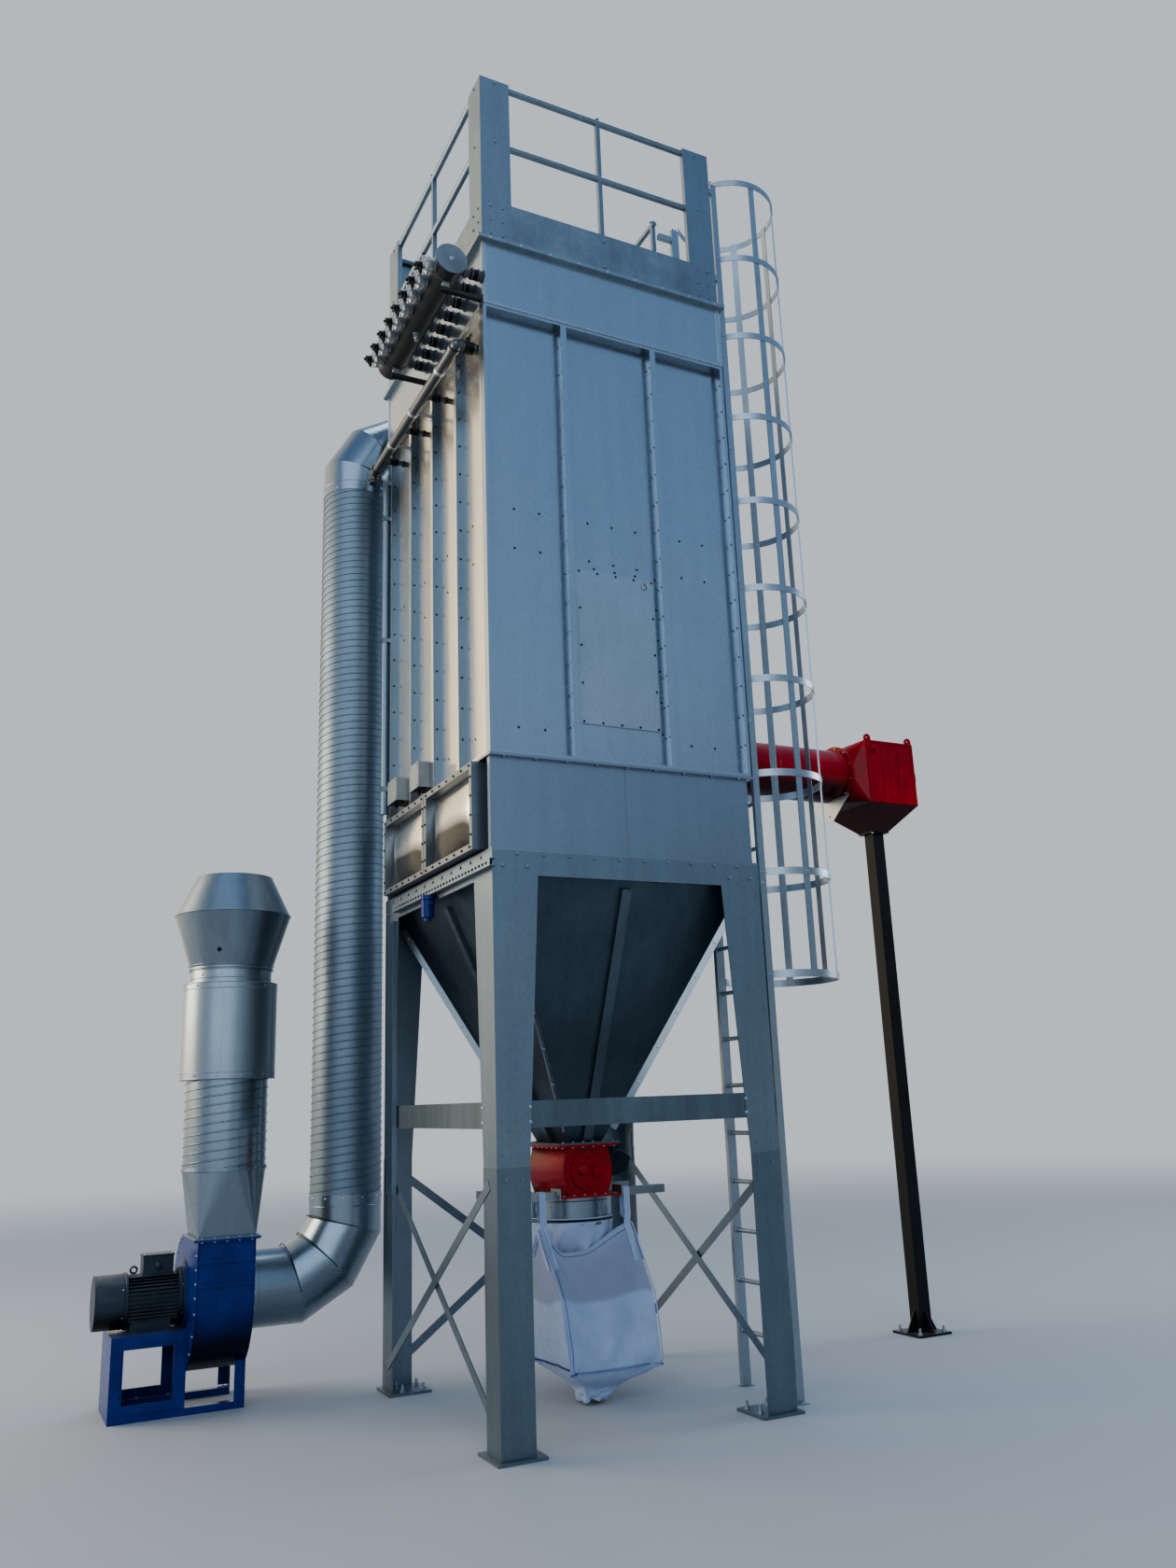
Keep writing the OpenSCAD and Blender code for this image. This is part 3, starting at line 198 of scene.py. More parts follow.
def turned(bm, start, facing, outline, sides=12):
    """A round body from start along facing; outline is (distance along, radius) in mm."""
    axis = Vector(facing).normalized()
    across = axis.orthogonal().normalized()
    third = axis.cross(across)
    rings = []
    for along, radius in outline:
        centre = start + axis * along / 1000
        ring = []
        for i in range(sides if radius else 1):
            turn = 2 * math.pi * (i + 0.5) / sides
            ring.append(bm.verts.new(centre + (across * math.cos(turn) + third * math.sin(turn)) * radius / 1000))
        rings.append(ring)
    for low, high in zip(rings, rings[1:]):
        for i in range(sides):
            corners = [low[i % len(low)], low[(i + 1) % len(low)], high[(i + 1) % len(high)], high[i % len(high)]]
            kept = [c for n, c in enumerate(corners) if c not in corners[:n]]
            if len(kept) > 2:
                bm.faces.new(kept)
    for ring in (rings[0], rings[-1]):
        if len(ring) > 2:
            bm.faces.new(ring)


def bolt(bm, start, facing, size=12):
    """A hexagon bolt head of that thread size on its washer."""
    turned(bm, start, facing, [(0, size), (size * 0.2, size)], 14)
    turned(bm, start, facing, [(0, size * 0.88), (size * 0.75, size * 0.88), (size * 0.85, size * 0.7)], 6)


def anchor(bm, start, facing, size):
    """A threaded anchor of that size with its washer and nut."""
    turned(bm, start, facing, [(0, size + 1), (3, size + 1)], 16)
    turned(bm, start, facing, [(3, size - 2), (15, size - 2), (16, size - 4)], 6)
    turned(bm, start, facing, [(16, size / 2), (38, size / 2), (40, size / 2 - 2)])


def bolts(bm, *rows, head=bolt):
    """Rows of heads: each row has its facing, size, x, y and z; a list there sets a head at every value in mm."""
    for facing, size, *spread in rows:
        for place in product(*(s if isinstance(s, (list, tuple)) else [s] for s in spread)):
            head(bm, spot(*place), facing, size)


def made(name, bm, material, crease=35, bevel=0):
    """Turns what was built into one piece of the filter."""
    bmesh.ops.recalc_face_normals(bm, faces=bm.faces)
    mesh = bpy.data.meshes.new(name)
    bm.to_mesh(mesh)
    bm.free()
    mesh.shade_smooth()
    mesh.set_sharp_from_angle(angle=math.radians(crease))
    mesh.materials.append(material)
    piece = bpy.data.objects.new(name, mesh)
    bpy.context.scene.collection.objects.link(piece)
    if bevel:
        round_edge = piece.modifiers.new("round_edge", "BEVEL")
        round_edge.width = bevel / 1000
        round_edge.segments = 2
        round_edge.limit_method = "ANGLE"
        round_edge.harden_normals = True
    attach(piece, "root")
    return piece


def bolted(name, material, slot, *rows, head=bolt):
    """Makes one piece of such rows."""
    bm = bmesh.new()
    bolts(bm, *rows, head=head)
    made(name, bm, material)


dress(zinc("dull_zinc", (0.20, 0.25, 0.28), 0.46, cloud=0.16, runs=0.14), "foot_plates")
plated = zinc("plated_bolts", (0.50, 0.53, 0.56), 0.30, spangle=3, cloud=0.10)
# The dark bolt zinc is partly wear and partly painted shade, standing in for the shadows round the heads.
worn_and_shaded = zinc("worn_and_shaded_bolts", (0.05, 0.06, 0.07), 0.45, spangle=3, cloud=0.10)
bolted("anchor_nuts", plated, "galv_section",
       (UP, 16, (60, 190, 1500, 1630), (60, 190, 1680, 1810), 15), head=anchor)


# Legs: folded galvanised sheet, wide at the top and slim below. A separate lower leg
# slips over the upper one and ends in a visible joint.
def block(bm, low, high):
    """A square-edged bar or plate between two corners in mm."""
    low, high = spot(*low), spot(*high)
    place = Matrix.Translation((low + high) / 2) @ Matrix.Diagonal((*(high - low), 1))
    bmesh.ops.create_cube(bm, size=1, matrix=place)


def blocks(bm, xs, ys, zs):
    """Square-edged bars: x, y and z are each a (low, high) in mm, or a list of them that sets a bar at every one."""
    for sides in product(*(s if isinstance(s, list) else [s] for s in (xs, ys, zs))):
        block(bm, *zip(*sides))


def on_four_sides(size, xs, ys, zs, out=0):
    """Rows of heads out mm off the legs' outer faces: xs in front and at the rear, ys on the left and right."""
    return ((FRONT, size, xs, -out, zs), (BACK, size, xs, 1870 + out, zs),
            (LEFT, size, -out, ys, zs), (RIGHT, size, 1690 + out, ys, zs))


section_zinc = zinc("section_zinc", (0.24, 0.30, 0.35), 0.40, cloud=0.08, runs=0.08, wave=0.02)
lower_zinc = zinc("lower_zinc", (0.19, 0.245, 0.285), 0.42, cloud=0.10, runs=0.12)
dress(section_zinc, "legs")
sleeves = bmesh.new()
blocks(sleeves, [(-2, 180), (1510, 1692)], [(-2, -0.2), (1870.2, 1872)], (16, 1333))
blocks(sleeves, [(-2, -0.2), (1690.2, 1692)], [(-0.2, 180), (1690, 1870.2)], (16, 1333))
made("leg_sleeves", sleeves, lower_zinc)
joint_x = (45, 135, 1555, 1645)
bolted("leg_bolts", section_zinc, "galv_section",
       *on_four_sides(12, (62, 205, 1485, 1628), (62, 205, 1665, 1808), 2868),
       (FRONT, 8, joint_x, -2, 1275), (BACK, 8, joint_x, 1872, 1275),
       (FRONT, 8, joint_x, 0, 1390), (BACK, 8, joint_x, 1870, 1390))


# Ring beam: a folded channel round the bottom of the casing that ties the leg heads
# together. The casing's bottom flange is bolted down to it all round.
def run(start, step, count):
    """Evenly spaced positions."""
    return [start + step * i for i in range(count)]


dress(section_zinc, "ring_beam")
bolted("ring_bolts", section_zinc, "galv_section", *on_four_sides(10, run(150, 154.5, 10), run(160, 155, 11), 2935))


# Cross beams: folded channels between the legs at the height of the hopper outlet,
# streaked by rain water.
dress(zinc("streaked_zinc", (0.17, 0.22, 0.25), 0.46, cloud=0.12, runs=0.2), "cross_beams")
bolted("beam_bolts", plated, "galv_section", (FRONT, 10, (190, 1500), 6, (1550, 1624)),
       (LEFT, 10, 6, (190, 1680), (1550, 1624)), (RIGHT, 10, 1684, (190, 1680), (1550, 1624)))


# Cross braces: flat galvanised bars that cross between the legs on the left, on the
# right and at the rear, bolted to the legs and at the crossing.
dress(section_zinc, "braces")
bolted("brace_bolts", plated, "galv_section",
       (LEFT, 12, 6, 935, 700), (RIGHT, 12, 1684, 935, 700), (BACK, 12, 845, 1864, 700))


# Hopper: four tapered galvanised sheets with folded ribs, bolted together along
# flanges at the corners. Its sheets and ribs are painted dark as the shade it hangs in under the casing.
flange_zinc = zinc("flange_zinc", (0.46, 0.52, 0.57), 0.36, cloud=0.10, runs=0.05)
dress(zinc("shaded_hopper_zinc", (0.10, 0.135, 0.165), 0.46, cloud=0.16, runs=0.12, wave=0.03), "hopper")
dress(zinc("shaded_rib_zinc", (0.145, 0.185, 0.215), 0.42, cloud=0.12, runs=0.1), "hopper_ribs")
dress(flange_zinc, "hopper_flanges")
hopper_bolts = bmesh.new()
run_x, run_y, rise = 724, 694, 1550
reach = math.hypot(run_x, run_y)
edge = math.hypot(reach, rise)
for side, end, i in product((-1, 1), (-1, 1), range(7)):
    share = 0.10 + i * 0.125
    along = reach * share + 22 * rise / edge
    centre = spot(845 + side * (100 + along * run_x / reach), 935 + end * (220 + along * run_y / reach),
                  1400 + rise * share - 22 * reach / edge)
    across = Vector((-side * run_y, end * run_x, 0)).normalized()
    for face in (-across, across):
        bolt(hopper_bolts, centre + face * 0.003, face, 8)
bolts(hopper_bolts, (UP, 8, run(685, 64, 6), (676, 1194), 1412))
made("hopper_bolts", hopper_bolts, plated)


# Rotary valve: a cast housing in gloss red enamel under the hopper, with bolted rims
# above and below, a round end cover and a small shaft housing in front of it.
def enamel(name, colour, rough=0.28, dust=0.3, metal=0.0):
    """Gloss paint with a light orange peel, dull patches, dust on top and painted shade darkening the underside."""
    paint, tree, skin = plain_material(name)
    place = node(tree, "TexCoord").outputs["Object"]
    patches = node(tree, "TexNoise", {"Scale": 7, "Detail": 6, "Vector": place}).outputs[0]
    tilt = node(tree, "SeparateXYZ", {0: node(tree, "NewGeometry").outputs["Normal"]}).outputs["Z"]
    settle = node(tree, "Math", {0: tilt, 1: patches}, operation="MULTIPLY")
    cover = node(tree, "MapRange", {"From Min": 0.15, "From Max": 0.8, "To Max": dust, "Value": settle.outputs[0]})
    fade = ramp(tree, patches, (0.3, (c * 0.72 for c in colour)), (0.7, (min(1, c * 1.12) for c in colour)))
    # Painted shade: faces turned downwards are darkened, to a tenth of the colour at the darkest.
    below = node(tree, "MapRange", {"From Min": -0.6, "From Max": -0.15, "To Min": 0.10, "Value": tilt})
    underside_painted_shade = node(tree, "VectorMath", {0: fade, "Scale": below.outputs["Result"]}, operation="SCALE")
    mixed = node(tree, "Mix", {"Factor": cover.outputs["Result"], "A": underside_painted_shade.outputs[0], "B": (0.42, 0.41, 0.38, 1)},
                 data_type="RGBA")
    gloss = node(tree, "MapRange", {"To Min": rough - 0.08, "To Max": rough + 0.14, "Value": patches})
    peel = node(tree, "TexNoise", {"Scale": 220, "Vector": place})
    ripple = node(tree, "Bump", {"Distance": 0.0006, "Strength": 0.3, "Height": peel.outputs[0]})
    feed(tree, skin, {"Metallic": metal, "Coat Weight": 0.12, "Coat Roughness": 0.12, "Specular IOR Level": 0.2,
                      "Base Color": mixed.outputs["Result"], "Roughness": gloss.outputs["Result"],
                      "Normal": ripple.outputs[0]})
    return paint


LEVEL, UPRIGHT, SIDEWAYS = (RIGHT, BACK), (RIGHT, UP), (BACK, UP)


def circle(centre, radius, plane, turns):
    """Points on a circle of radius mm, each with its way out; turns are degrees from the plane's first way."""
    for turn in turns:
        out = Vector(plane[0]) * math.cos(math.radians(turn)) + Vector(plane[1]) * math.sin(math.radians(turn))
        yield centre + out * radius / 1000, out


def ring_of(bm, centre, radius, plane, turns, size, facing=None, head=bolt):
    """Heads on a circle, which face outwards where no facing is given."""
    for place, out in circle(centre, radius, plane, turns):
        head(bm, place, facing or out, size)


red_enamel = enamel("red_enamel", (0.40, 0.003, 0.012), 0.24)
dress(red_enamel, "rotary_valve")
bolted("valve_bolts", plated, "red_paint",
       (DOWN, 8, run(680, 66, 6), (676, 1194), 1388), (UP, 8, run(680, 66, 6), (676, 1194), 1122),
       (DOWN, 8, (671, 1019), run(740, 65, 7), 1388), (UP, 8, (671, 1019), run(740, 65, 7), 1122))
valve_fittings = bmesh.new()
ring_of(valve_fittings, spot(845, 681, 1255), 96, UPRIGHT, run(22.5, 45, 8), 8, FRONT)
bolts(valve_fittings, (FRONT, 5, (868, 908), 645, (1232, 1274)))
for z in (1175, 1335):
    turned(valve_fittings, spot(845, 680, z), FRONT, [(0, 15), (10, 15), (12, 9), (26, 9), (27, 5)], 16)
turned(valve_fittings, spot(800, 681, 1255), FRONT, [(0, 26), (14, 26), (18, 20), (30, 20), (32, 17)], 24)
made("valve_fittings", valve_fittings, red_enamel, bevel=0.8)


# Valve drive: a geared motor in dark machine paint behind the valve, with a chain guard.
# Its motor has cooling fins, a fan cover and a terminal box.
def slab(bm, centre, size, ways):
    """A bar of that size in metres about centre, with its sides along three ways."""
    turn = Matrix(ways).transposed().to_4x4()
    bmesh.ops.create_cube(bm, size=1, matrix=Matrix.Translation(centre) @ turn @ Matrix.Diagonal((*size, 1)))


machine_paint = enamel("machine_paint", (0.030, 0.045, 0.062), 0.42)
dress(machine_paint, "valve_drive")
drive_trim = bmesh.new()
for place, out in circle(spot(1110, 960, 1284), 72, UPRIGHT, run(0, 15, 24)):
    if out.z < 0.75:
        slab(drive_trim, place, (0.02, 0.16, 0.0028), (out, Vector(BACK), out.cross(Vector(BACK))))
turned(drive_trim, spot(1110, 870, 1284), FRONT, [(-4, 76), (40, 76), (52, 70), (55, 60), (55, 40)], 40)
for x, y in product((1066, 1154), (883, 987)):
    turned(drive_trim, spot(x, y, 1394), UP, [(0, 5), (4, 5), (5, 3)], 10)
turned(drive_trim, spot(1160, 935, 1362), RIGHT, [(0, 13), (16, 13), (17, 9), (30, 9)], 12)
made("drive_trim", drive_trim, machine_paint, bevel=0.5)
drive_bolts = bmesh.new()
bolts(drive_bolts, (BACK, 7, (748, 845, 960, 1090, 1180), 1235, (1160, 1366)))
ring_of(drive_bolts, spot(1110, 1085, 1284), 80, UPRIGHT, run(0, 60, 6), 6, FRONT)
made("drive_bolts", drive_bolts, plated)


# Outlet chute: a short round spigot of bright sheet under the valve, with a rolled bead
# and a lock seam. The sleeve of the bulk bag is tied round its rim.
def bead(bm, centre, radius, plane, thick, steps=72):
    """A round rod of radius thick mm bent into a ring in that plane."""
    across, third = (Vector(way) * radius / 1000 for way in plane)
    out = across.cross(third).normalized()
    rings = []
    for turn in run(0, 2 * math.pi / steps, steps):
        arm = across * math.cos(turn) + third * math.sin(turn)
        rod = [arm.normalized() * math.cos(a) + out * math.sin(a) for a in run(0, math.pi / 4, 8)]
        rings.append([bm.verts.new(centre + arm + way * thick / 1000) for way in rod])
    for ring, after in zip(rings, rings[1:] + rings[:1]):
        for k in range(8):
            bm.faces.new((ring[k], ring[(k + 1) % 8], after[(k + 1) % 8], after[k]))


def band(bm, centre, axis, radius, width, thick=3, sides=72):
    """A sheet metal ring round a duct, with rounded edges; it starts at centre and runs along axis."""
    turned(bm, centre, axis, [(0, radius), (2, radius + thick), (width - 2, radius + thick), (width, radius)], sides)


def lock_seams(bm, centre, radius, turns, size):
    """Folded seams down a round duct; size is how far they stand out, their width and length in metres."""
    for place, out in circle(centre, radius, LEVEL, turns):
        slab(bm, place, size, (out, Vector(UP).cross(out), Vector(UP)))


duct_zinc = zinc("duct_zinc", (0.27, 0.33, 0.385), 0.27, spangle=9, cloud=0.08, runs=0.05)
dress(duct_zinc, "chute")
chute_trim = bmesh.new()
bead(chute_trim, spot(845, 935, 1088), 235.5, LEVEL, 3)
lock_seams(chute_trim, spot(845, 935, 1035), 235.5, (215, 330), (0.002, 0.012, 0.096))
made("chute_trim", chute_trim, duct_zinc)


# Bag arms: square galvanised tubes on both sides of the valve that carry the loops of
# the bulk bag. Each is closed by a plastic plug and bolted to the valve rim.
dress(zinc("arm_zinc", (0.36, 0.40, 0.42), 0.44, cloud=0.12, runs=0.06), "bag_arms")
black_plastic = enamel("black_plastic", (0.018, 0.019, 0.021), 0.5, dust=0.15)
arm_plugs = bmesh.new()
blocks(arm_plugs, [(345.5, 353), (1337, 1344.5)], [(695, 735), (1135, 1175)], (1107.5, 1147.5))
made("arm_plugs", arm_plugs, black_plastic, bevel=1)
arm_y = (673, 757, 1113, 1197)
bolted("arm_bolts", plated, "galv_section", (LEFT, 10, 644, arm_y, 1135), (RIGHT, 10, 1046, arm_y, 1135))


# Lower band: a plain body of sheet steel under the trays, with a folded flange above and
# below. The top flange is bolted to the trays all round, and seams join its sheets.
sheet_zinc = zinc("sheet_zinc", (0.31, 0.37, 0.44), 0.30, spangle=10, cloud=0.05, runs=0.04, wave=0.04)
dress(sheet_zinc, "lower_band")
bolted("band_bolts", plated, "galv_section",
       (DOWN, 8, run(85, 190, 9), (10, 1860), 3476), (DOWN, 8, 1680, run(80, 190, 10), 3476))
band_seams = bmesh.new()
blocks(band_seams, (836, 854), [(19, 20.5), (1848, 1849.5)], (2966, 3474))
made("band_seams", band_seams, sheet_zinc, bevel=0.6)


# Explosion vents: two thin metal membranes, pressed into shallow cushions and clamped in
# bolted frames on the left of the band.
dress(zinc("frame_zinc", (0.22, 0.25, 0.28), 0.36, cloud=0.10, runs=0.10), "vent_frames")
foil = zinc("vent_foil", (0.78, 0.77, 0.72), 0.20, spangle=60, cloud=0.05, wave=0.3)
foil_tree = foil.node_tree
skin = foil_tree.nodes["Principled BSDF"]
# Painted shade: the lower half of each cushion, which faces the ground, is darkened and made less metallic, standing
# in for the dark ground it reflects.
leaning = node(foil_tree, "VectorMath", {0: node(foil_tree, "NewGeometry").outputs["Normal"], 1: (0, -0.12, 1)},
               operation="DOT_PRODUCT")
lower_half_painted_shade = node(foil_tree, "MapRange", {"From Min": -0.07, "From Max": 0.03, "To Min": 0.055, "To Max": 1.0,
                                     "Value": leaning.outputs["Value"]}).outputs["Result"]
clean = skin.inputs["Base Color"].links[0].from_socket
shaded_foil_colour = node(foil_tree, "VectorMath", {0: clean, "Scale": lower_half_painted_shade}, operation="SCALE")
feed(foil_tree, skin, {"Base Color": shaded_foil_colour.outputs[0], "Metallic": lower_half_painted_shade, "Specular IOR Level": 0.2})
domes = bmesh.new()
for start in (175, 975):
    grid = {}
    for i in range(37):
        for j in range(23):
            u, v = i / 36 * 2 - 1, j / 22 * 2 - 1
            bulge = (1 - abs(u) ** 2.6) ** 0.9 * (1 - v * v) ** 0.9
            dimple = 2.2 * math.exp(-((u * 2.2) ** 2)) * math.exp(-((v * 3) ** 2))
            grid[i, j] = domes.verts.new(spot(-1 - 43 * bulge + dimple, start + 720 * i / 36, 3012 + 420 * j / 22))
    for i in range(36):
        for j in range(22):
            domes.faces.new((grid[i, j], grid[i, j + 1], grid[i + 1, j + 1], grid[i + 1, j]))
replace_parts(made("vent_cushions", domes, foil, crease=60), "vent_domes")
bolted("vent_bolts", worn_and_shaded, "galv_section",
       (LEFT, 8, -58, run(175, 120, 7) + run(975, 120, 7), (2994, 3450)),
       (LEFT, 8, -58, (157, 913, 957, 1713), run(3060, 108, 4)))


# Casing walls: folded trays of galvanised sheet, side by side round the bag chamber. They
# are bolted to each other through their edges, and their backs carry screws.
def screw(bm, start, facing, radius=6):
    """A low round screw head."""
    rounded = [(0, radius * 1.3), (1.2, radius * 1.3), (1.8, radius), (4.5, radius * 0.75), (5.5, radius * 0.3)]
    turned(bm, start, facing, rounded, 10)


tray_zinc = zinc("tray_zinc", (0.42, 0.49, 0.56), 0.27, spangle=10, cloud=0.045, runs=0.035, wave=0.05)
# Painted light: the left tray backs have a lighter, warmer copy of the tray zinc for the side that faces the light.
# Their walls that face front or back are mixed to a cool dark colour as painted shade.
lit_side_zinc = zinc("lit_side_tray_zinc", (0.84, 0.81, 0.73), 0.25, spangle=10, cloud=0.08, runs=0.05, wave=0.07)
dress(tray_zinc, "front_pans", "right_pans", "rear_pans")
side_tree = lit_side_zinc.node_tree
side_skin = side_tree.nodes["Principled BSDF"]
turned_away = node(side_tree, "SeparateXYZ", {0: node(side_tree, "NewGeometry").outputs["Normal"]}).outputs["Y"]
share = node(side_tree, "Math", {0: turned_away}, operation="ABSOLUTE").outputs[0]
warm_zinc = side_skin.inputs["Base Color"].links[0].from_socket
cool = node(side_tree, "Mix", {"Factor": share, "A": warm_zinc, "B": (0.16, 0.21, 0.27, 1)}, data_type="RGBA")
feed(side_tree, side_skin, {"Base Color": cool.outputs["Result"]})
dress(lit_side_zinc, "left_pans")
dress(sheet_zinc, "bag_chamber")
joints = (496.5, 935, 1373.5, 1812)
tray_edges = bmesh.new()
blocks(tray_edges, (-1, 0.5), [(y - 21, y - 13) for y in joints], (3560, 6278))
made("tray_edges", tray_edges, flange_zinc)
bolt_z = run(3700, 190, 14)
bolted("tray_bolts", worn_and_shaded, "galv_section", (LEFT, 6, (527, 1157, 1687), (32, 1838), bolt_z),
       (FRONT, 7, (30, 1660), [y - 3 for y in joints], bolt_z))
low_z, high_z = 3664, (4748, 4996)
outer_x, middle_x = (195, 357, 1315, 1480), (675, 838, 1000)
side_y = (201, 353, 640, 792, 1078, 1230, 1517, 1669)
bolted("back_screws", worn_and_shaded, "galv_section",
       (FRONT, 6, outer_x, 55, (low_z, *high_z)), (FRONT, 6, middle_x, 55, high_z),
       (BACK, 6, outer_x + middle_x, 1815, (low_z, *high_z)), (LEFT, 6, 55, side_y, (low_z, *high_z)),
       (RIGHT, 6, 1635, side_y, high_z), (RIGHT, 6, 1635, side_y[:4] + side_y[6:], low_z), head=screw)


# Access door: a flat cover plate on the middle front tray, held by screws along its edge
# and by a second row that fixes the frame behind it. It has a small pull ring.
dress(zinc("door_zinc", (0.48, 0.53, 0.57), 0.28, spangle=10, cloud=0.07, runs=0.03, wave=0.04), "access_door")
bolted("door_screws", worn_and_shaded, "galv_section",
       (FRONT, 6, (567, 1122), 55, run(4701, -197, 6)), (FRONT, 6, (600, 1090), 45, run(4671, -233, 5)),
       (FRONT, 6, run(722.5, 122.5, 3), 45, (4671, 3740)), (FRONT, 6, run(706, 139, 3), 55, 4703), head=screw)
door_ring = bmesh.new()
turned(door_ring, spot(1041, 45, 4655), FRONT, [(0, 9), (3, 9), (4, 5), (12, 5), (13, 7), (15, 7)], 12)
bead(door_ring, spot(1041, 35, 4640), 18, (RIGHT, (0, 1 / 6, 1)), 3, steps=32)
made("door_ring", door_ring, plated)


# Clean air chamber: a flush sheet steel box on top of the trays. A folded frame goes
# round each side panel, and screws hold the panels.
dress(tray_zinc, "plenum")
chamber_frame = bmesh.new()
blocks(chamber_frame, (0, 1690), [(-5, 0), (1870, 1875)], (6295, 6311))
blocks(chamber_frame, [(0, 24), (1666, 1690)], [(-5, 0), (1870, 1875)], (6311, 6727))
blocks(chamber_frame, [(-5, 0), (1690, 1695)], (-5, 1875), (6295, 6311))
blocks(chamber_frame, [(-5, 0), (1690, 1695)], [(-5, 24), (1846, 1875)], (6311, 6727))
made("chamber_frame", chamber_frame, flange_zinc, bevel=1)


# Roof plate and lids: a folded plate on top of the clean air chamber with two lids for
# the filter bags. Each lid has two handles and is held down by screw knobs.
dress(zinc("roof_zinc", (0.34, 0.40, 0.45), 0.40, cloud=0.16, runs=0.10), "roof_plate", "roof_lids")
lid_knobs = bmesh.new()
for x, y in product(run(250, 297, 5), (108, 917, 953, 1762)):
    turned(lid_knobs, spot(x, y, 6755), UP, [(0, 7), (46, 7), (47, 18), (58, 20), (66, 16), (68, 8)], 12)
made("lid_knobs", lid_knobs, black_plastic)
lid_clamps = bmesh.new()
clamp_y = [(96, 148), (877, 929), (941, 993), (1722, 1774)]
blocks(lid_clamps, [(x, x + 28) for x in run(236, 297, 5)], clamp_y, (6800, 6805))
made("lid_clamps", lid_clamps, plated, bevel=1)
bolted("roof_screws", plated, "galv_section",
       *on_four_sides(6, run(45, 200, 9), run(85, 212, 9), 6741, out=34), head=screw)


# Roof platform: corner posts of folded sheet, toe plates between them and two lines of
# round galvanised rail with a gate opening at the ladder. All is bolted through.
mottled = zinc("mottled_zinc", (0.31, 0.37, 0.42), 0.42, spangle=22, cloud=0.30, runs=0.12)
dress(mottled, "toe_plates")
post_zinc = zinc("post_zinc", (0.27, 0.33, 0.38), 0.38, cloud=0.10, runs=0.08)
dress(post_zinc, "corner_posts")
dress(section_zinc, "guard_rails")
rail_uprights = bmesh.new()
for x, y in ((845, 27), (845, 1843), (27, 935), (1663, 725)):
    block(rail_uprights, (x - 15, y - 15, 6745), (x + 15, y + 15, 7925))
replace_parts(made("rail_uprights", rail_uprights, section_zinc, bevel=2), "rail_posts")
bolted("platform_bolts", post_zinc, "galv_section",
       *on_four_sides(8, (60, 140, 1550, 1630), (60, 140, 1730, 1810), (6800, 6900, 7000)),
       *on_four_sides(8, (100, 1590), (100, 1770), (7484, 7930)),
       *on_four_sides(10, 845, 935, (6800, 6990))[:3])
post_caps = bmesh.new()
for x, y in ((845, 26), (845, 1844), (26, 935), (1664, 725)):
    turned(post_caps, spot(x, y, 7951), UP, [(0, 24), (2, 24), (3.5, 20)], 4)
made("post_caps", post_caps, black_plastic)
lifting_eyes = bmesh.new()
for x in (62, 1628):
    for y in (62, 1808):
        turned(lifting_eyes, spot(x, y, 6755), UP, [(0, 20), (8, 20), (10, 11), (24, 11)], 20)
        bead(lifting_eyes, spot(x, y, 6800), 22, UPRIGHT, 7, steps=32)
made("lifting_eyes", lifting_eyes, plated)


# Ladder: folded stiles with round rungs welded between them, on brackets from the
# casing. Its cage is bent flat bar, bolted at each crossing and to the stiles.
ladder_zinc = zinc("ladder_zinc", (0.40, 0.46, 0.51), 0.36, cloud=0.12, runs=0.06)
dress(ladder_zinc, "ladder_stiles", "ladder_rungs", "cage_hoops", "cage_strips")
cage_bolts = bmesh.new()
hoop_z = run(2332, 620, 10)
for z in hoop_z:
    ring_of(cage_bolts, spot(2096.7, 420, z), 355, LEVEL, run(-90, 45, 5), 6)
bracket_z = (2880, 3910, 4860, 5810, 6515, 7105, 7815)
for y, out in ((157, FRONT), (683, BACK)):
    bolts(cage_bolts, (out, 7, (1815, 1838), y, hoop_z), (out, 9, 1822, y, bracket_z))
bolts(cage_bolts, (UP, 10, 1825, (143, 697), 6))
made("cage_bolts", cage_bolts, plated)
rung_welds = bmesh.new()
for z in run(300, 280, 23):
    for y, facing in ((163, BACK), (677, FRONT)):
        turned(rung_welds, spot(1825, y, z), facing, [(0, 17.5), (2.5, 15.5), (5, 13.2)], 20)
made("rung_welds", rung_welds, ladder_zinc)


# Pulse air header: a six inch painted steel pipe beside the clean air chamber, closed by
# a flat disc in front and a dished end behind. Two straps hold it on angle brackets.
header_paint = enamel("header_paint", (0.29, 0.315, 0.335), 0.46, dust=0.2)
header = bmesh.new()
turned(header, spot(-230, -81, 6460), BACK, [(0, 89), (1180, 89), (1196, 84), (1208, 70), (1216, 45), (1219, 0)], 64)
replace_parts(made("header_pipe", header, header_paint), "air_header")
header_end = bmesh.new()
turned(header_end, spot(-230, -93, 6460), BACK, [(0, 97), (1, 98), (11, 98), (12, 97)], 64)
made("header_disc", header_end, enamel("disc_paint", (0.15, 0.19, 0.225), 0.34, dust=0.1))
header_arms = bmesh.new()
header_trim = bmesh.new()
header_plugs = bmesh.new()
for y in (20, 980):
    block(header_arms, (-262, y - 16, 6310), (0, y + 16, 6314))
    block(header_arms, (-262, y - 16, 6314), (0, y - 12, 6334))
    block(header_arms, (-6, y - 25, 6280), (0, y + 25, 6345))
    block(header_trim, (-250, y - 12, 6314), (-210, y + 16, 6375))
    band(header_trim, spot(-230, y - 15, 6460), BACK, 89.5, 30, 3, 64)
    for x in (-60, -34):
        bolt(header_plugs, spot(x, y + 3, 6314), UP, 7)
arm_paint = enamel("arm_paint", (0.045, 0.05, 0.055), 0.5, dust=0.2)
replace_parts(made("header_arms", header_arms, arm_paint), "header_brackets")
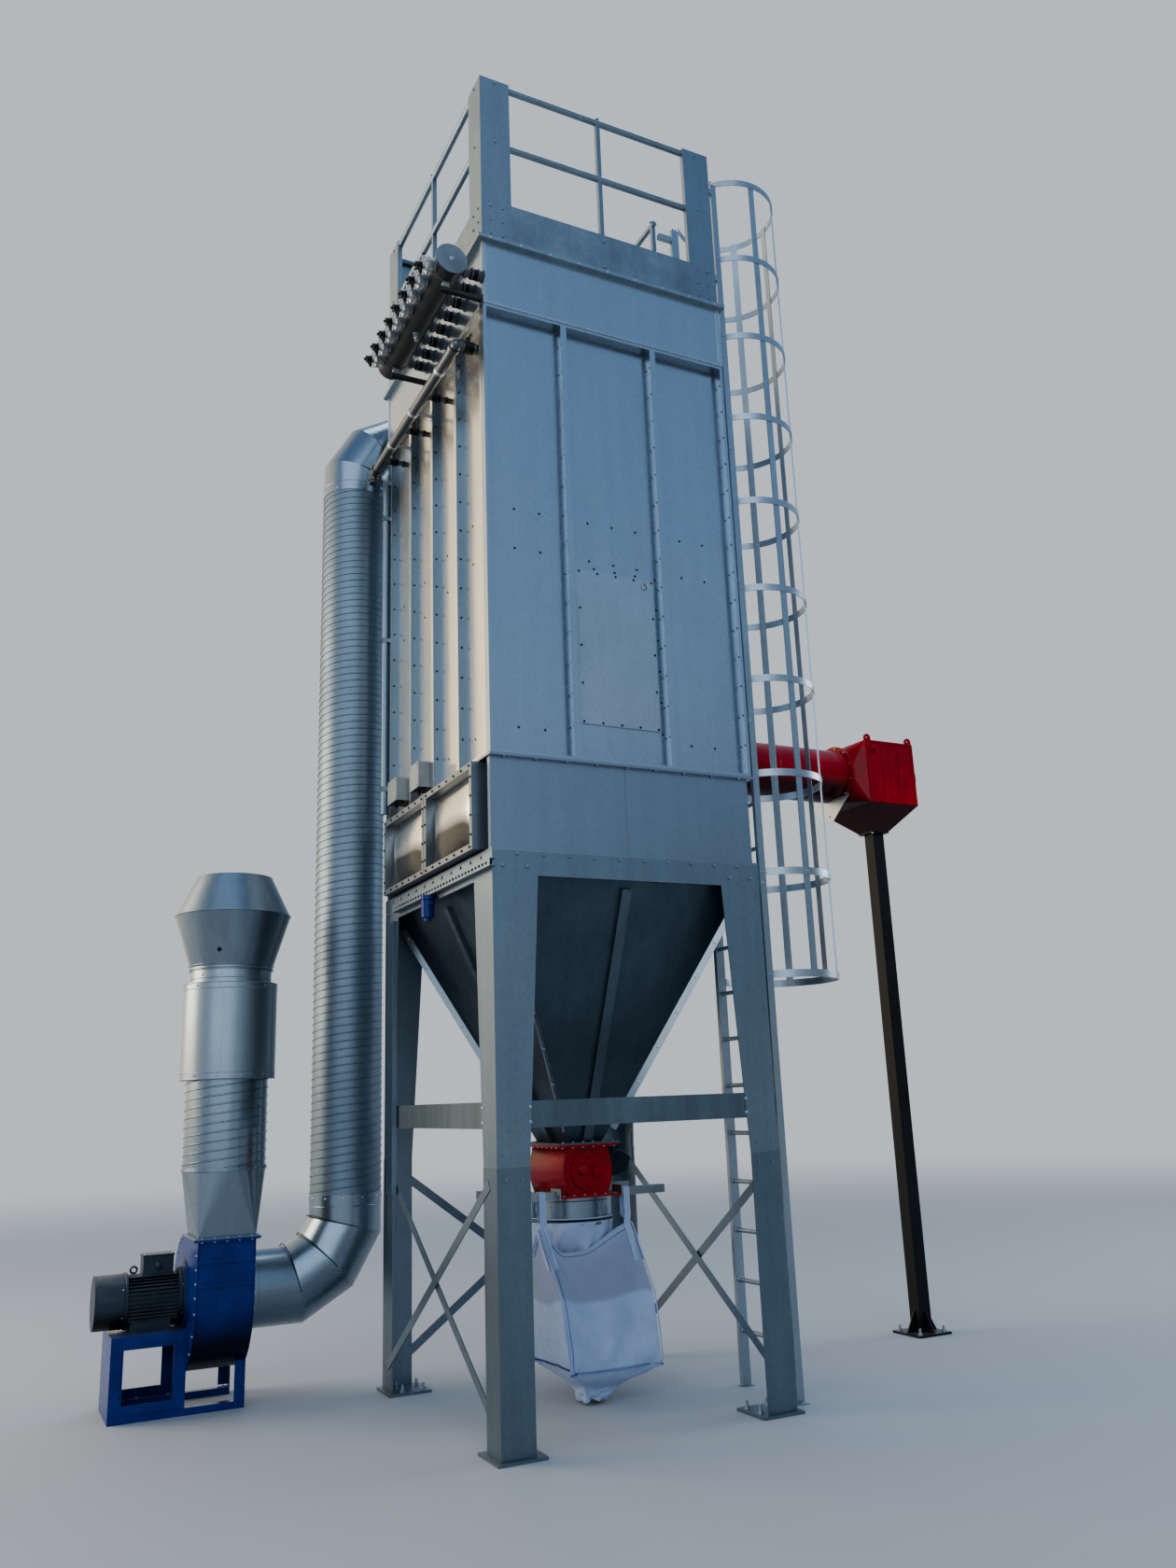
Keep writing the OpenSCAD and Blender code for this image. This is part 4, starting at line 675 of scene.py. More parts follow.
turned(header_trim, spot(-230, 560, 6373), DOWN, [(0, 20), (16, 20), (17, 15), (34, 15)], 24)
bead(header_trim, spot(-230, 1088, 6460), 88.5, UPRIGHT, 3)
made("header_trim", header_trim, header_paint)
turned(header_plugs, spot(-230, -93, 6460), FRONT, [(0, 16), (3, 16), (4, 10), (8, 9)], 6)
turned(header_plugs, spot(-230, 560, 6339), DOWN, [(0, 17), (12, 17), (13, 9), (24, 9)], 6)
made("header_plugs", header_plugs, plated)


# Diaphragm valves: eight cast alloy valves along the outer side of the header. Each has a
# ribbed body with a bolted cap, a black solenoid on top and a short wired plug.
cast_alloy = zinc("cast_alloy", (0.42, 0.45, 0.48), 0.46, spangle=2, cloud=0.2)
valve_black = enamel("valve_black", (0.016, 0.017, 0.019), 0.42, dust=0.2)
dress(cast_alloy, "pulse_valves")
valve_caps = bmesh.new()
solenoids = bmesh.new()
cap_bolts = bmesh.new()
out = Vector((-math.cos(math.radians(12)), 0, -math.sin(math.radians(12))))
side = Vector(BACK)
rest = out.cross(side)
valve_y = run(-7.5, 145, 8)
for y in valve_y:
    foot = spot(-230, y, 6460) + out * 0.089
    turned(valve_caps, foot, out, [(-8, 36), (6, 36), (8, 31), (22, 34), (26, 52), (36, 54), (38, 50),
                                   (44, 50), (46, 54), (56, 54), (60, 44), (68, 30), (74, 24)], 36)
    for place, _ in circle(foot, 46, (side, rest), run(0, 60, 6)):
        turned(valve_caps, place, out, [(20, 9), (60, 9), (62, 7)], 10)
        turned(cap_bolts, place, out, [(60, 7), (67, 7), (68, 5)], 6)
    turned(solenoids, foot + side * 0.004, out, [(66, 17), (72, 17), (74, 23), (106, 23), (110, 18),
                                                 (112, 9), (122, 9), (124, 5)], 24)
    turned(solenoids, foot + out * 0.09, rest, [(0, 16), (34, 16), (36, 13), (50, 12), (52, 7), (60, 7)], 4)
    turned(solenoids, foot + out * 0.05 - side * 0.01, -rest, [(40, 11), (64, 11), (66, 8), (74, 8)], 8)
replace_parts(made("valve_caps", valve_caps, cast_alloy, crease=30), "pulse_valves")
made("solenoids", solenoids, valve_black, bevel=0.8)
made("cap_bolts", cap_bolts, plated)


# Blow pipes: short zinc plated pipes that carry the pulses from the header through the
# chamber wall. Rubber hose ends and bolted clamps join them.
pipe_zinc = zinc("pipe_zinc", (0.135, 0.145, 0.155), 0.34, spangle=5, cloud=0.16)
dress(pipe_zinc, "blow_pipes")
rubber = enamel("rubber", (0.014, 0.014, 0.015), 0.6, dust=0.25)
hose_ends = bmesh.new()
hose_clamps = bmesh.new()
for y in valve_y:
    turned(hose_ends, spot(-86, y, 6460), RIGHT, [(0, 28), (2, 32.5), (60, 32.5), (62, 28)], 28)
    turned(hose_clamps, spot(-152, y, 6460), RIGHT, [(0, 28), (6, 28), (10, 24.2), (60, 24.2)], 28)
    turned(hose_clamps, spot(-128, y, 6460), RIGHT, [(0, 32), (2, 34), (24, 34), (26, 32)], 6)
    for x in (-80, -40):
        band(hose_clamps, spot(x, y, 6460), RIGHT, 32.5, 12, 2, 28)
        turned(hose_clamps, spot(x + 6, y - 16, 6495), BACK, [(0, 5), (7, 5), (8, 3), (26, 3)], 8)
    turned(hose_clamps, spot(-22, y, 6460), RIGHT, [(0, 33), (10, 33), (12, 41), (22, 41)], 6)
made("hose_ends", hose_ends, rubber)
made("hose_clamps", hose_clamps, pipe_zinc)


# Supply pipe: a thick zinc plated pipe under the header with a screwed elbow at each end.
# A small black valve on each branch feeds the casing.
dress(pipe_zinc, "supply_pipe")
pipe_fittings = bmesh.new()
for y in (150, 1735):
    turned(pipe_fittings, spot(-125, y, 6050), BACK, [(0, 40), (26, 40), (28, 35)], 32)
turned(pipe_fittings, spot(-108, 130, 6050), RIGHT, [(-4, 34), (0, 39), (22, 39), (24, 34)], 32)
turned(pipe_fittings, spot(-125, 1810, 6018), DOWN, [(0, 34), (2, 39), (24, 39), (26, 34)], 32)
turned(pipe_fittings, spot(-125, 1810, 5984), DOWN, [(0, 38), (4, 38), (12, 36), (14, 30)], 8)
for y in (716, 1154, 1593):
    turned(pipe_fittings, spot(-100, y, 6050), RIGHT, [(0, 26), (14, 26), (18, 20), (24, 20)], 24)
made("pipe_fittings", pipe_fittings, pipe_zinc)
branch_valves = bmesh.new()
for y in (130, 716, 1154, 1593):
    wide = 1.5 if y == 130 else 1.0
    body = ((0, 26), (10, 26), (13, 21), (20, 27), (34, 27), (41, 21), (44, 26), (56, 26))
    turned(branch_valves, spot(-74, y, 6050), RIGHT, [(along, radius * wide) for along, radius in body], 8)
    turned(branch_valves, spot(-47, y, 6076), UP, [(0, 12), (14, 12), (15, 7), (30, 7), (31, 15), (38, 15)], 16)
    turned(branch_valves, spot(-47, y + 8, 6110), FRONT, [(0, 7), (58, 6), (66, 4)], 8)
    turned(branch_valves, spot(16, y, 6050), RIGHT, [(0, 24), (12, 24), (14, 19), (36, 19)], 6)
made("branch_valves", branch_valves, valve_black, bevel=0.8)
pipe_clamps = bmesh.new()
for y in (420, 935, 1373):
    band(pipe_clamps, spot(-125, y - 15, 6050), BACK, 33, 30, 3, 36)
    block(pipe_clamps, (-96, y - 15, 6046), (0, y + 15, 6052))
    bolt(pipe_clamps, spot(-80, y, 6052), UP, 6)
    block(pipe_clamps, (-4, y - 15, 6020), (0, y + 15, 6080))
made("pipe_clamps", pipe_clamps, plated)


# Conduit, level sensor and wiring boxes: a steel conduit up the rear corner in clips, two
# grey boxes low on the left wall and a blue sensor head under the band.
dress(section_zinc, "corner_conduit", "cable_tray", "leg_tray")
box_plastic = enamel("box_plastic", (0.30, 0.32, 0.33), 0.5)
dress(box_plastic, "junction_boxes")
box_trim = bmesh.new()
box_glands = bmesh.new()
for y0, y1, z0, z1 in ((975, 1140, 3530, 3690), (1413.5, 1593.5, 3550, 3700)):
    block(box_trim, (-78, y0 - 2, z0 - 2), (-62, y1 + 2, z1 + 2))
    bolts(box_trim, (LEFT, 5, -78, (y0 + 14, y1 - 14), (z0 + 14, z1 - 14)), head=screw)
    for y in (y0 + 40, y1 - 40):
        turned(box_glands, spot(-30, y, z0), DOWN, [(0, 13), (12, 13), (13, 9), (24, 8), (25, 5)], 8)
made("box_lids", box_trim, box_plastic, bevel=1.2)
made("box_glands", box_glands, black_plastic)
blue_enamel = enamel("blue_enamel", (0.008, 0.030, 0.19), 0.24)
dress(blue_enamel, "level_sensor")
sensor_trim = bmesh.new()
turned(sensor_trim, spot(-45, 900, 2846), DOWN, [(0, 41), (3, 43), (26, 43), (30, 39)], 36)
turned(sensor_trim, spot(-45, 858, 2790), FRONT, [(0, 14), (10, 14), (11, 10), (26, 10)], 8)
made("sensor_trim", sensor_trim, blue_enamel, bevel=0.8)
bolted("clip_screws", plated, "galv_section",
       (LEFT, 5, -51, 1840, (3717, 4820, 5720)), (LEFT, 5, -41, (60, 500, 935, 1370, 1560), 2880))


# Outlet box: a folded sheet box at the rear of the clean air chamber that gathers the
# clean air for the riser. Its edges are flanged and its lid is screwed down.
dress(sheet_zinc, "outlet_box")
box_edges = bmesh.new()
blocks(box_edges, (301, 1109), (2404, 2409), [(6265, 6281), (6713, 6729)])
blocks(box_edges, [(301, 305), (1105, 1109)], (1872, 2409), (6265, 6281))
blocks(box_edges, [(301, 305), (1105, 1109)], (2393, 2409), (6281, 6713))
bolts(box_edges, (BACK, 6, run(345, 144, 6), 2404, (6350, 6650)), head=screw)
made("outlet_box_edges", box_edges, flange_zinc)


# Riser: a spiral wound duct of galvanised strip. Folded ribs run round it like a slow
# screw thread.
def spiral(bm, centre, low, high, radius, lead, ribs, rise, sides=72):
    """A duct wound from strip lead mm wide, with ribs evenly set across the strip; it ends square at low and high."""
    rib = ((0, 0), (3, rise), (7, rise), (10, 0))
    shape = [(k * lead / ribs + at, lift) for k in range(ribs) for at, lift in rib]
    steps = math.ceil((high - low) / lead + 1) * sides
    wound = []
    for i in range(steps + 1):
        turn = 2 * math.pi * i / sides
        column = []
        for at, lift in shape:
            z = min(max(low - lead + lead * i / sides + at, low), high)
            arm = radius + (lift if low < z < high else 0)
            column.append(bm.verts.new(centre + Vector((arm * math.cos(turn), arm * math.sin(turn), z)) / 1000))
        wound.append(column)
    rows = len(shape)
    for i in range(steps):
        for k in range(rows):
            beyond = (i, k + 1) if k + 1 < rows else (i + sides, 0)
            if beyond[0] + 1 > steps:
                continue
            face = [wound[i][k], wound[i + 1][k], wound[beyond[0] + 1][beyond[1]], wound[beyond[0]][beyond[1]]]
            heights = [v.co.z * 1000 for v in face]
            if min(heights) < high - 0.01 and max(heights) > low + 0.01:
                bm.faces.new(face)
    bmesh.ops.remove_doubles(bm, verts=bm.verts, dist=0.00002)
    bmesh.ops.dissolve_degenerate(bm, edges=bm.edges, dist=0.00002)
    bmesh.ops.delete(bm, geom=[v for v in bm.verts if not v.link_faces], context="VERTS")


spiral_zinc = zinc("spiral_zinc", (0.195, 0.25, 0.30), 0.47, spangle=10, cloud=0.07, runs=0.05)
riser = bmesh.new()
spiral(riser, spot(-165, 2165, 0), 1060, 6052, 223, 150, 3, 4.5)
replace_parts(made("riser_spiral", riser, spiral_zinc, crease=40), "riser_duct")


# Riser elbows: each is four mitred pieces of smooth duct with raised joints between them.
# Sleeves with screws join the elbows to the spiral duct, the box and the fan.
def on_fan(x):
    """A point on the axis of the fan, its motor and the pipe between fan and riser."""
    return spot(x, 2165, 610)


dress(duct_zinc, "riser_elbows")
elbow_joints = bmesh.new()
elbow_seams = bmesh.new()
for hub, turns in ((spot(-615, 2165, 1060), (-75, -45, -15)), (spot(285, 2165, 6052), (165, 135, 105))):
    for place, out in circle(hub, 450, UPRIGHT, turns):
        bead(elbow_seams, place, 224.5, (out / math.cos(math.radians(15)), BACK), 3.2)
for z, out in ((1060, 1), (6052, -1)):
    band(elbow_joints, spot(-165, 2165, z), (0, 0, out), 225.5, 70, 2)
    bead(elbow_joints, spot(-165, 2165, z - out * 2), 225.5, (RIGHT, (0, 449 / 451, 0)), 3)
band(elbow_joints, on_fan(-800), RIGHT, 225.5, 60, 2)
band(elbow_joints, spot(288, 2165, 6502), RIGHT, 225.5, 17, 12)
made("elbow_joints", elbow_joints, duct_zinc)
made("elbow_seams", elbow_seams, worn_and_shaded)
duct_screws = bmesh.new()
for x, z, plane in ((-165, 1105, LEVEL), (-165, 6008, LEVEL), (-770, 610, SIDEWAYS)):
    ring_of(duct_screws, spot(x, 2165, z), 227.5, plane, run(12, 30, 12), 5, head=screw)
made("duct_screws", duct_screws, plated)


# Fan casing: a welded scroll of blue painted sheet. Its side plates are bolted to rolled
# edges, and bolted flanges join it to the riser and the stack.
dress(blue_enamel, "fan_casing")
fan_bolts = bmesh.new()
for x, out in ((-1141, LEFT), (-815, RIGHT)):
    for y, z, radius, start in ((2185, 590, 341, 10), (2145, 590, 381, -80), (2145, 630, 421, -170)):
        ring_of(fan_bolts, spot(x, y, z), radius, SIDEWAYS, run(start, 17.5, 5), 8, out)
    bolts(fan_bolts, (out, 8, x, 1724, (640, 715, 790, 865)))
flange_x, flange_y = run(-1118, 70, 5), run(1725, 68, 6)
bolts(fan_bolts, (DOWN, 8, (-1153, -803), flange_y, 940), (DOWN, 8, flange_x, (1702, 2088), 940))
ring_of(fan_bolts, on_fan(-803), 243, SIDEWAYS, run(18, 36, 10), 8, RIGHT)
made("fan_bolts", fan_bolts, plated)
fan_trim = bmesh.new()
turned(fan_trim, on_fan(-815), RIGHT, [(0, 256), (12, 256), (12, 226), (0, 226)], 72)
turned(fan_trim, on_fan(-1141), LEFT, [(0, 200), (7, 200), (8, 196)], 64)
blocks(fan_trim, (-1139, -817), (1709, 1715), [(688, 712), (818, 842)])
made("fan_trim", fan_trim, blue_enamel, bevel=0.6)


# Fan motor: a finned cast frame in dark grey paint with a pressed fan cover at its back, a
# terminal box on top with a cable gland, a lifting eye and bolted feet.
dress(machine_paint, "fan_motor")
motor_fins = bmesh.new()
for place, out in circle(on_fan(-1330), 146, SIDEWAYS, run(0, 360 / 44, 44)):
    under_box = out.z > 0.88
    over_foot = out.z < -0.72 and abs(abs(out.y) - 0.57) < 0.2
    if not under_box and not over_foot:
        slab(motor_fins, place, (0.285, 0.0032, 0.024), (Vector(RIGHT), out.cross(Vector(RIGHT)), out))
made("motor_fins", motor_fins, machine_paint)
motor_trim = bmesh.new()
turned(motor_trim, on_fan(-1641), RIGHT, [(0, 108), (0.5, 136), (6, 146), (14, 150.5), (160, 151.5),
                                                  (164, 149)], 64)
for radius in run(22, 21, 5):
    bead(motor_trim, on_fan(-1638.6), radius, SIDEWAYS, 2.4, steps=48)
turned(motor_trim, on_fan(-1476), RIGHT, [(0, 153), (3, 157), (14, 157), (17, 150)], 64)
turned(motor_trim, on_fan(-1184), RIGHT, [(0, 150), (3, 160), (20, 160), (24, 152)], 64)
block(motor_trim, (-1384, 2092, 846), (-1208, 2238, 858))
turned(motor_trim, spot(-1300, 2092, 796), FRONT, [(0, 22), (12, 22), (14, 15), (34, 14), (36, 10)], 8)
bead(motor_trim, spot(-1425, 2165, 775), 18, UPRIGHT, 6, steps=32)
made("motor_trim", motor_trim, machine_paint, bevel=1)
motor_bolts = bmesh.new()
bolts(motor_bolts, (UP, 5, (-1372, -1220), (2104, 2226), 858), head=screw)
bolts(motor_bolts, (UP, 10, (-1420, -1246), (2068, 2262), 506))
ring_of(motor_bolts, on_fan(-1160), 152, SIDEWAYS, run(30, 60, 6), 8, LEFT)
ring_of(motor_bolts, on_fan(-1490), 151.5, SIDEWAYS, run(30, 60, 6), 4, head=screw)
made("motor_bolts", motor_bolts, plated)


# Fan base: folded blue sheet with large openings, welded to two floor rails. Rubber
# buffers and anchors hold it to the slab.
dress(blue_enamel, "fan_base")
base_trim = bmesh.new()
outer_y = [(1931, 1935), (2395, 2399)]
blocks(base_trim, [(-1551, -1493), (-1199, -1141)], outer_y, (40, 440))
blocks(base_trim, (-1493, -1199), outer_y, [(378, 440), (40, 92)])
blocks(base_trim, (-869, -811), [(1931, 1935), (2437, 2441)], (40, 285))
made("base_frames", base_trim, blue_enamel, bevel=1.5)
bolted("base_bolts", plated, "blue_paint", (UP, 10, (-1520, -1350, -1170, -850), (1960, 2370), 40),
       (FRONT, 4, (-1145, -811), 1935, (120, 270)), (BACK, 4, (-1145, -811), 2437, (120, 270)))


# Stack transition: folded duct sheet that turns the fan's square outlet into the round
# stack, with a bolted flange below and a sleeve above.
def on_stack(z):
    """A point on the stack's axis, z mm above the floor."""
    return spot(-978, 1895, z)


dress(duct_zinc, "stack_transition")
transition_trim = bmesh.new()
blocks(transition_trim, (-1166, -790), [(1690, 1715), (2075, 2100)], (952, 957))
blocks(transition_trim, [(-1166, -1141), (-815, -790)], (1715, 2075), (952, 957))
band(transition_trim, on_stack(1318), UP, 243.6, 26, 2)
bead(transition_trim, on_stack(1330), 245.2, LEVEL, 3)
made("transition_trim", transition_trim, duct_zinc, bevel=0.6)
bolted("flange_nuts", plated, "duct_steel",
       (UP, 8, (-1153, -803), flange_y, 957), (UP, 8, flange_x, (1702, 2088), 957))


# Stack duct: a short spiral wound duct with close ribs.
stack = bmesh.new()
spiral(stack, on_stack(0), 1327, 1842, 237.5, 156, 3, 5.5)
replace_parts(made("stack_spiral", stack, duct_zinc, crease=40), "stack_duct")


# Silencer: a smooth round jacket of satin sheet with rolled end rims, rows of screws and
# one lock seam down its length.
satin_zinc = zinc("satin_zinc", (0.30, 0.355, 0.41), 0.34, spangle=5, cloud=0.06, runs=0.05)
dress(satin_zinc, "silencer")
silencer_trim = bmesh.new()
for z, size in ((1846, 277.5), (2408, 277.5), (1880, 277), (2374, 277), (2440, 239.5)):
    bead(silencer_trim, on_stack(z), size, LEVEL, 3.5)
lock_seams(silencer_trim, on_stack(2127), 278.5, (250, 95), (0.003, 0.014, 0.48))
made("silencer_trim", silencer_trim, satin_zinc)
stack_screws = bmesh.new()
for z, size in ((1863, 278), (2391, 278), (2460, 240), (1335, 242.5)):
    ring_of(stack_screws, on_stack(z), size, LEVEL, run(6, 30, 12), 4, head=screw)
made("stack_screws", stack_screws, plated)


# Jet cowl: two cones of sheet joined at a rolled rim, with the wide part at mid height so
# that the exhaust leaves straight up. A drain hole and a clamp band are low on it.
cowl_zinc = zinc("cowl_zinc", (0.24, 0.295, 0.35), 0.33, spangle=7, cloud=0.10, runs=0.14)
dress(cowl_zinc, "jet_cowl")
cowl_trim = bmesh.new()
for z, size, thick in ((2831, 346, 4.5), (3072, 229, 4), (2498, 248.5, 4), (2522, 252, 3)):
    bead(cowl_trim, on_stack(z), size, LEVEL, thick)
made("cowl_trim", cowl_trim, cowl_zinc)
cowl_drain = bmesh.new()
for place, out in circle(on_stack(2600), 277.5, LEVEL, (244,)):
    turned(cowl_drain, place, out - Vector((0, 0, 0.32)), [(-3, 13), (3, 13), (4, 9), (-2, 9)], 24)
made("cowl_drain", cowl_drain, black_plastic)


# Inlet pipe: a smooth duct in gloss red enamel from the right wall to the flap valve. It
# is bolted through flat flanges and has one long seam.
def on_inlet(x):
    """A point on the inlet pipe's axis."""
    return spot(x, 1270, 3950)


dress(red_enamel, "inlet_pipe")
inlet_bolts = bmesh.new()
for x, radius, out in ((1640, 215, RIGHT), (3320, 218, LEFT), (3340, 218, RIGHT)):
    ring_of(inlet_bolts, on_inlet(x), radius, SIDEWAYS, run(15, 30, 12), 8, out)
made("inlet_bolts", inlet_bolts, plated)
inlet_seams = bmesh.new()
for x in (2120, 2700):
    bead(inlet_seams, on_inlet(x), 200, SIDEWAYS, 3.5)
band(inlet_seams, on_inlet(3268), RIGHT, 200.2, 18, 4)
made("inlet_seams", inlet_seams, red_enamel)


# Inlet saddle: a light galvanised plate cut round under the pipe end that carries it on
# the prop.
dress(flange_zinc, "inlet_saddle")
bolted("saddle_bolts", plated, "galv_section",
       (LEFT, 8, 3260, (1065, 1475), 3772), (LEFT, 8, 3260, 1270, 3640))


# Flap valve: a welded red box with folded seams, three lifting eyes and a tapered underside
# darkened by painted shade. It stops a pressure wave from running back along the duct.
dress(red_enamel, "flap_valve")
flap_seams = bmesh.new()
ribs_x, rims_y = [(3586, 3594), (3736, 3744)], [(996, 1000), (1540, 1544)]
blocks(flap_seams, ribs_x, [(997, 1000), (1540, 1543)], (3716, 4186))
blocks(flap_seams, ribs_x, (1002, 1538), (4190, 4193))
blocks(flap_seams, (3442, 3888), rims_y, [(3712, 3730), (4172, 4190)])
blocks(flap_seams, [(3442, 3460), (3870, 3888)], rims_y, (3730, 4172))
band(flap_seams, on_inlet(3895), RIGHT, 200.2, 22, 10)
made("flap_seams", flap_seams, red_enamel, bevel=0.8)
flap_bolts = bmesh.new()
bolts(flap_bolts, (FRONT, 6, 3666, 1000, run(3790, 108, 4)), (BACK, 6, 3666, 1540, run(3790, 108, 4)), head=screw)
bolts(flap_bolts, (UP, 8, (3620, 3710), (1030, 1510), 4190))
made("flap_bolts", flap_bolts, red_enamel)
shaft_ends = bmesh.new()
for y, out in ((1000, FRONT), (1540, BACK)):
    turned(shaft_ends, spot(3510, y, 4120), out, [(0, 34), (8, 34), (10, 22), (22, 22), (23, 12), (34, 12),
                                                  (35, 9)], 28)
made("shaft_ends", shaft_ends, red_enamel, bevel=0.6)


# Inlet prop: a black painted square post with a foot plate in gussets, held by anchors,
# and a head plate bolted under the flap valve.
black_paint = enamel("black_paint", (0.010, 0.011, 0.012), 0.42, dust=0.35)
dress(black_paint, "inlet_prop")
prop_bolts = bmesh.new()
bolts(prop_bolts, (UP, 16, (3560, 3770), (1165, 1375), 15), head=anchor)
bolts(prop_bolts, (DOWN, 10, (3597, 3733), (1202, 1338), 3528))
made("prop_bolts", prop_bolts, plated)


# Bulk bag: white woven polypropylene, sewn from four walls and a base with a spout. It
# hangs slack by its corners from the arms and leans, with only a little dust in it.
def weave(name, colour, thread=2.2):
    """Woven plastic tape cloth: a fine over and under pattern, soft creases, light through it and painted shade that
    greys the part marked for it.
    """
    cloth, tree, skin = plain_material(name)
    place = node(tree, "TexCoord").outputs["Object"]
    soil = node(tree, "TexNoise", {"Scale": 5, "Detail": 7, "Roughness": 0.65, "Vector": place})
    tint = ramp(tree, soil.outputs[0], (0.25, (c * 0.82 for c in colour)), (0.6, colour))
    grey = (*(c * s for c, s in zip(colour, (0.76, 0.72, 0.68))), 1)
    shaded = node(tree, "Attribute", attribute_name="painted_shade").outputs["Fac"]
    dimmer = node(tree, "Mix", {"Factor": shaded, "A": tint, "B": grey}, data_type="RGBA")
    tape = [node(tree, "TexWave", {"Scale": 1000 / thread / 20, "Distortion": 0.4, "Vector": place},
                 bands_direction=along).outputs["Fac"] for along in ("X", "Y", "Z")]
    both = node(tree, "Math", {0: tape[0], 1: tape[2], 2: tape[1]}, operation="MULTIPLY_ADD")
    crease = node(tree, "TexNoise", {"Scale": 9, "Detail": 3, "Distortion": 1.2, "Vector": place})
    folds = node(tree, "Bump", {"Distance": 0.012, "Strength": 0.35, "Height": crease.outputs[0]})
    tapes = node(tree, "Bump", {"Distance": 0.0005, "Strength": 0.5, "Height": both.outputs[0],
                                "Normal": folds.outputs[0]})
    feed(tree, skin, {"Roughness": 0.62, "Sheen Weight": 0.15, "Subsurface Weight": 0.12,
                      "Subsurface Radius": (0.02, 0.02, 0.02), "Base Color": dimmer.outputs["Result"],
                      "Normal": tapes.outputs[0]})
    return cloth


# The white cloth gets a blue base colour as painted cool shade, since the bag hangs in shade.
white_weave = weave("white_weave", (0.45, 0.54, 0.74))
columns, lines = 20, 26
top_z, base_z, lean = 0.955, 0.19, 0.15
middle = spot(820, 935, 0)
around = [(-1, -1, 1, 0), (1, -1, 0, 1), (1, 1, -1, 0), (-1, 1, 0, -1)]


def on_wall(wall, share, down, wide=0.2925, deep=0.2925):
    """A point on one of four walls, share across it and down from the hem; wide and deep are half sizes."""
    x, y, dx, dy = around[wall]
    return middle + Vector(((x + 2 * dx * share) * wide + lean * down, (y + 2 * dy * share) * deep,
                            top_z + (base_z - top_z) * down))


bag = bmesh.new()
walls = {}
for wall in range(4):
    for i in range(columns):
        for j in range(lines + 1):
            cut = 0.2925 + 0.05 * (1 - j / lines)
            walls[wall * columns + i, j] = bag.verts.new(on_wall(wall, i / columns, j / lines, cut, cut))
total = 4 * columns
for i in range(total):
    for j in range(lines):
        bag.faces.new((walls[i, j], walls[i, j + 1], walls[(i + 1) % total, j + 1], walls[(i + 1) % total, j]))
ring = [walls[i, lines] for i in range(total)]
for step in range(1, 15):
    inner = []
    for i in range(total):
        edge_point = on_wall(i // columns, i % columns / columns, 1)
        off = edge_point - middle - Vector((lean, 0, 0))
        shrink, drop, fall = 1 - 0.085 * step, 0.0045 * step, 0
        if step > 6:
            fall = (step - 6) / 8
            shrink, drop = 0.49 - 0.20 * fall, 0.027 + 0.064 * fall
        off.z = 0
        a = math.atan2(off.y, off.x)
        crumple = 1 + fall * (0.10 * math.sin(5 * a + step) + 0.09 * math.sin(8 * a - step * 1.4))
        place = (off * shrink).lerp(off.normalized() * 0.27 * shrink, fall * 0.8) * crumple
        hang = drop + 0.010 * fall * math.sin(2 * a + 1)
        place = Vector((lean + place.x - 0.085 * fall, place.y - 0.10 * fall, base_z - hang))
        inner.append(bag.verts.new(middle + place))
    for i in range(total):
        bag.faces.new((ring[i], inner[i], inner[(i + 1) % total], ring[(i + 1) % total]))
    ring = inner
bag_mesh = bpy.data.meshes.new("bulk_bag_cloth")
bag.to_mesh(bag_mesh)
bag.free()
bag_body = bpy.data.objects.new("bulk_bag_cloth", bag_mesh)
bpy.context.scene.collection.objects.link(bag_body)
bag_body.shape_key_add(name="flat")
hung = bag_body.shape_key_add(name="hung")
held = bag_body.vertex_groups.new(name="held")
for i in range(total):
    for j in range(lines + 1):
        index = i * (lines + 1) + j
        down = j / lines
        near = min(i % columns, columns - i % columns)
        here = on_wall(i // columns, i % columns / columns, down, 0.2925, 0.2925 - 0.052 * (1 - down) ** 2.2)
        across = i % columns / columns if i < columns else 1 - i % columns / columns
        slack = min(1, across / 0.24, (1 - across) / 0.60)
        slack = slack * slack * (3 - 2 * slack)
        here.z -= 0.135 * slack * (1 - down) ** 2
        hung.data[index].co = here
        if near <= 1 and j <= 2:
            held.add([index], 1.0, "REPLACE")
        elif near == 0 and j >= lines - 1:
            held.add([index], 0.85, "REPLACE")
for index in range(total * (lines + 1), len(bag_mesh.vertices)):
    hung.data[index].co = bag_mesh.vertices[index].co
hung.value = 1.0
drape = bag_body.modifiers.new("drape", "CLOTH")
for name, value in {
    "quality": 7, "mass": 0.12, "tension_stiffness": 18, "compression_stiffness": 18, "shear_stiffness": 9,
    "bending_stiffness": 0.3, "tension_damping": 12, "air_damping": 4, "vertex_group_mass": "held",
    "pin_stiffness": 1.5, "rest_shape_key": bag_mesh.shape_keys.key_blocks["flat"], "use_pressure": True,
    "uniform_pressure_force": 0.12,
}.items():
    setattr(drape.settings, name, value)
drape.collision_settings.use_collision = False
drape.point_cache.frame_start = 1
drape.point_cache.frame_end = 60
for frame_number in range(1, 56):
    bpy.context.scene.frame_set(frame_number)
settled = bag_body.evaluated_get(bpy.context.evaluated_depsgraph_get())
draped = [v.co.copy() for v in settled.data.vertices]
bag_body.modifiers.clear()
bag_body.shape_key_clear()
bpy.context.scene.frame_set(1)
wrinkles = ((3, 15.5, 7, 24, 0.030), (8, 25, 11, 20, 0.018), (16, 22, 18.5, 25, 0.018), (13, 3, 16.5, 10, 0.018),
            (3, 3, 6, 11, 0.016), (12, 14, 15, 19, 0.012))
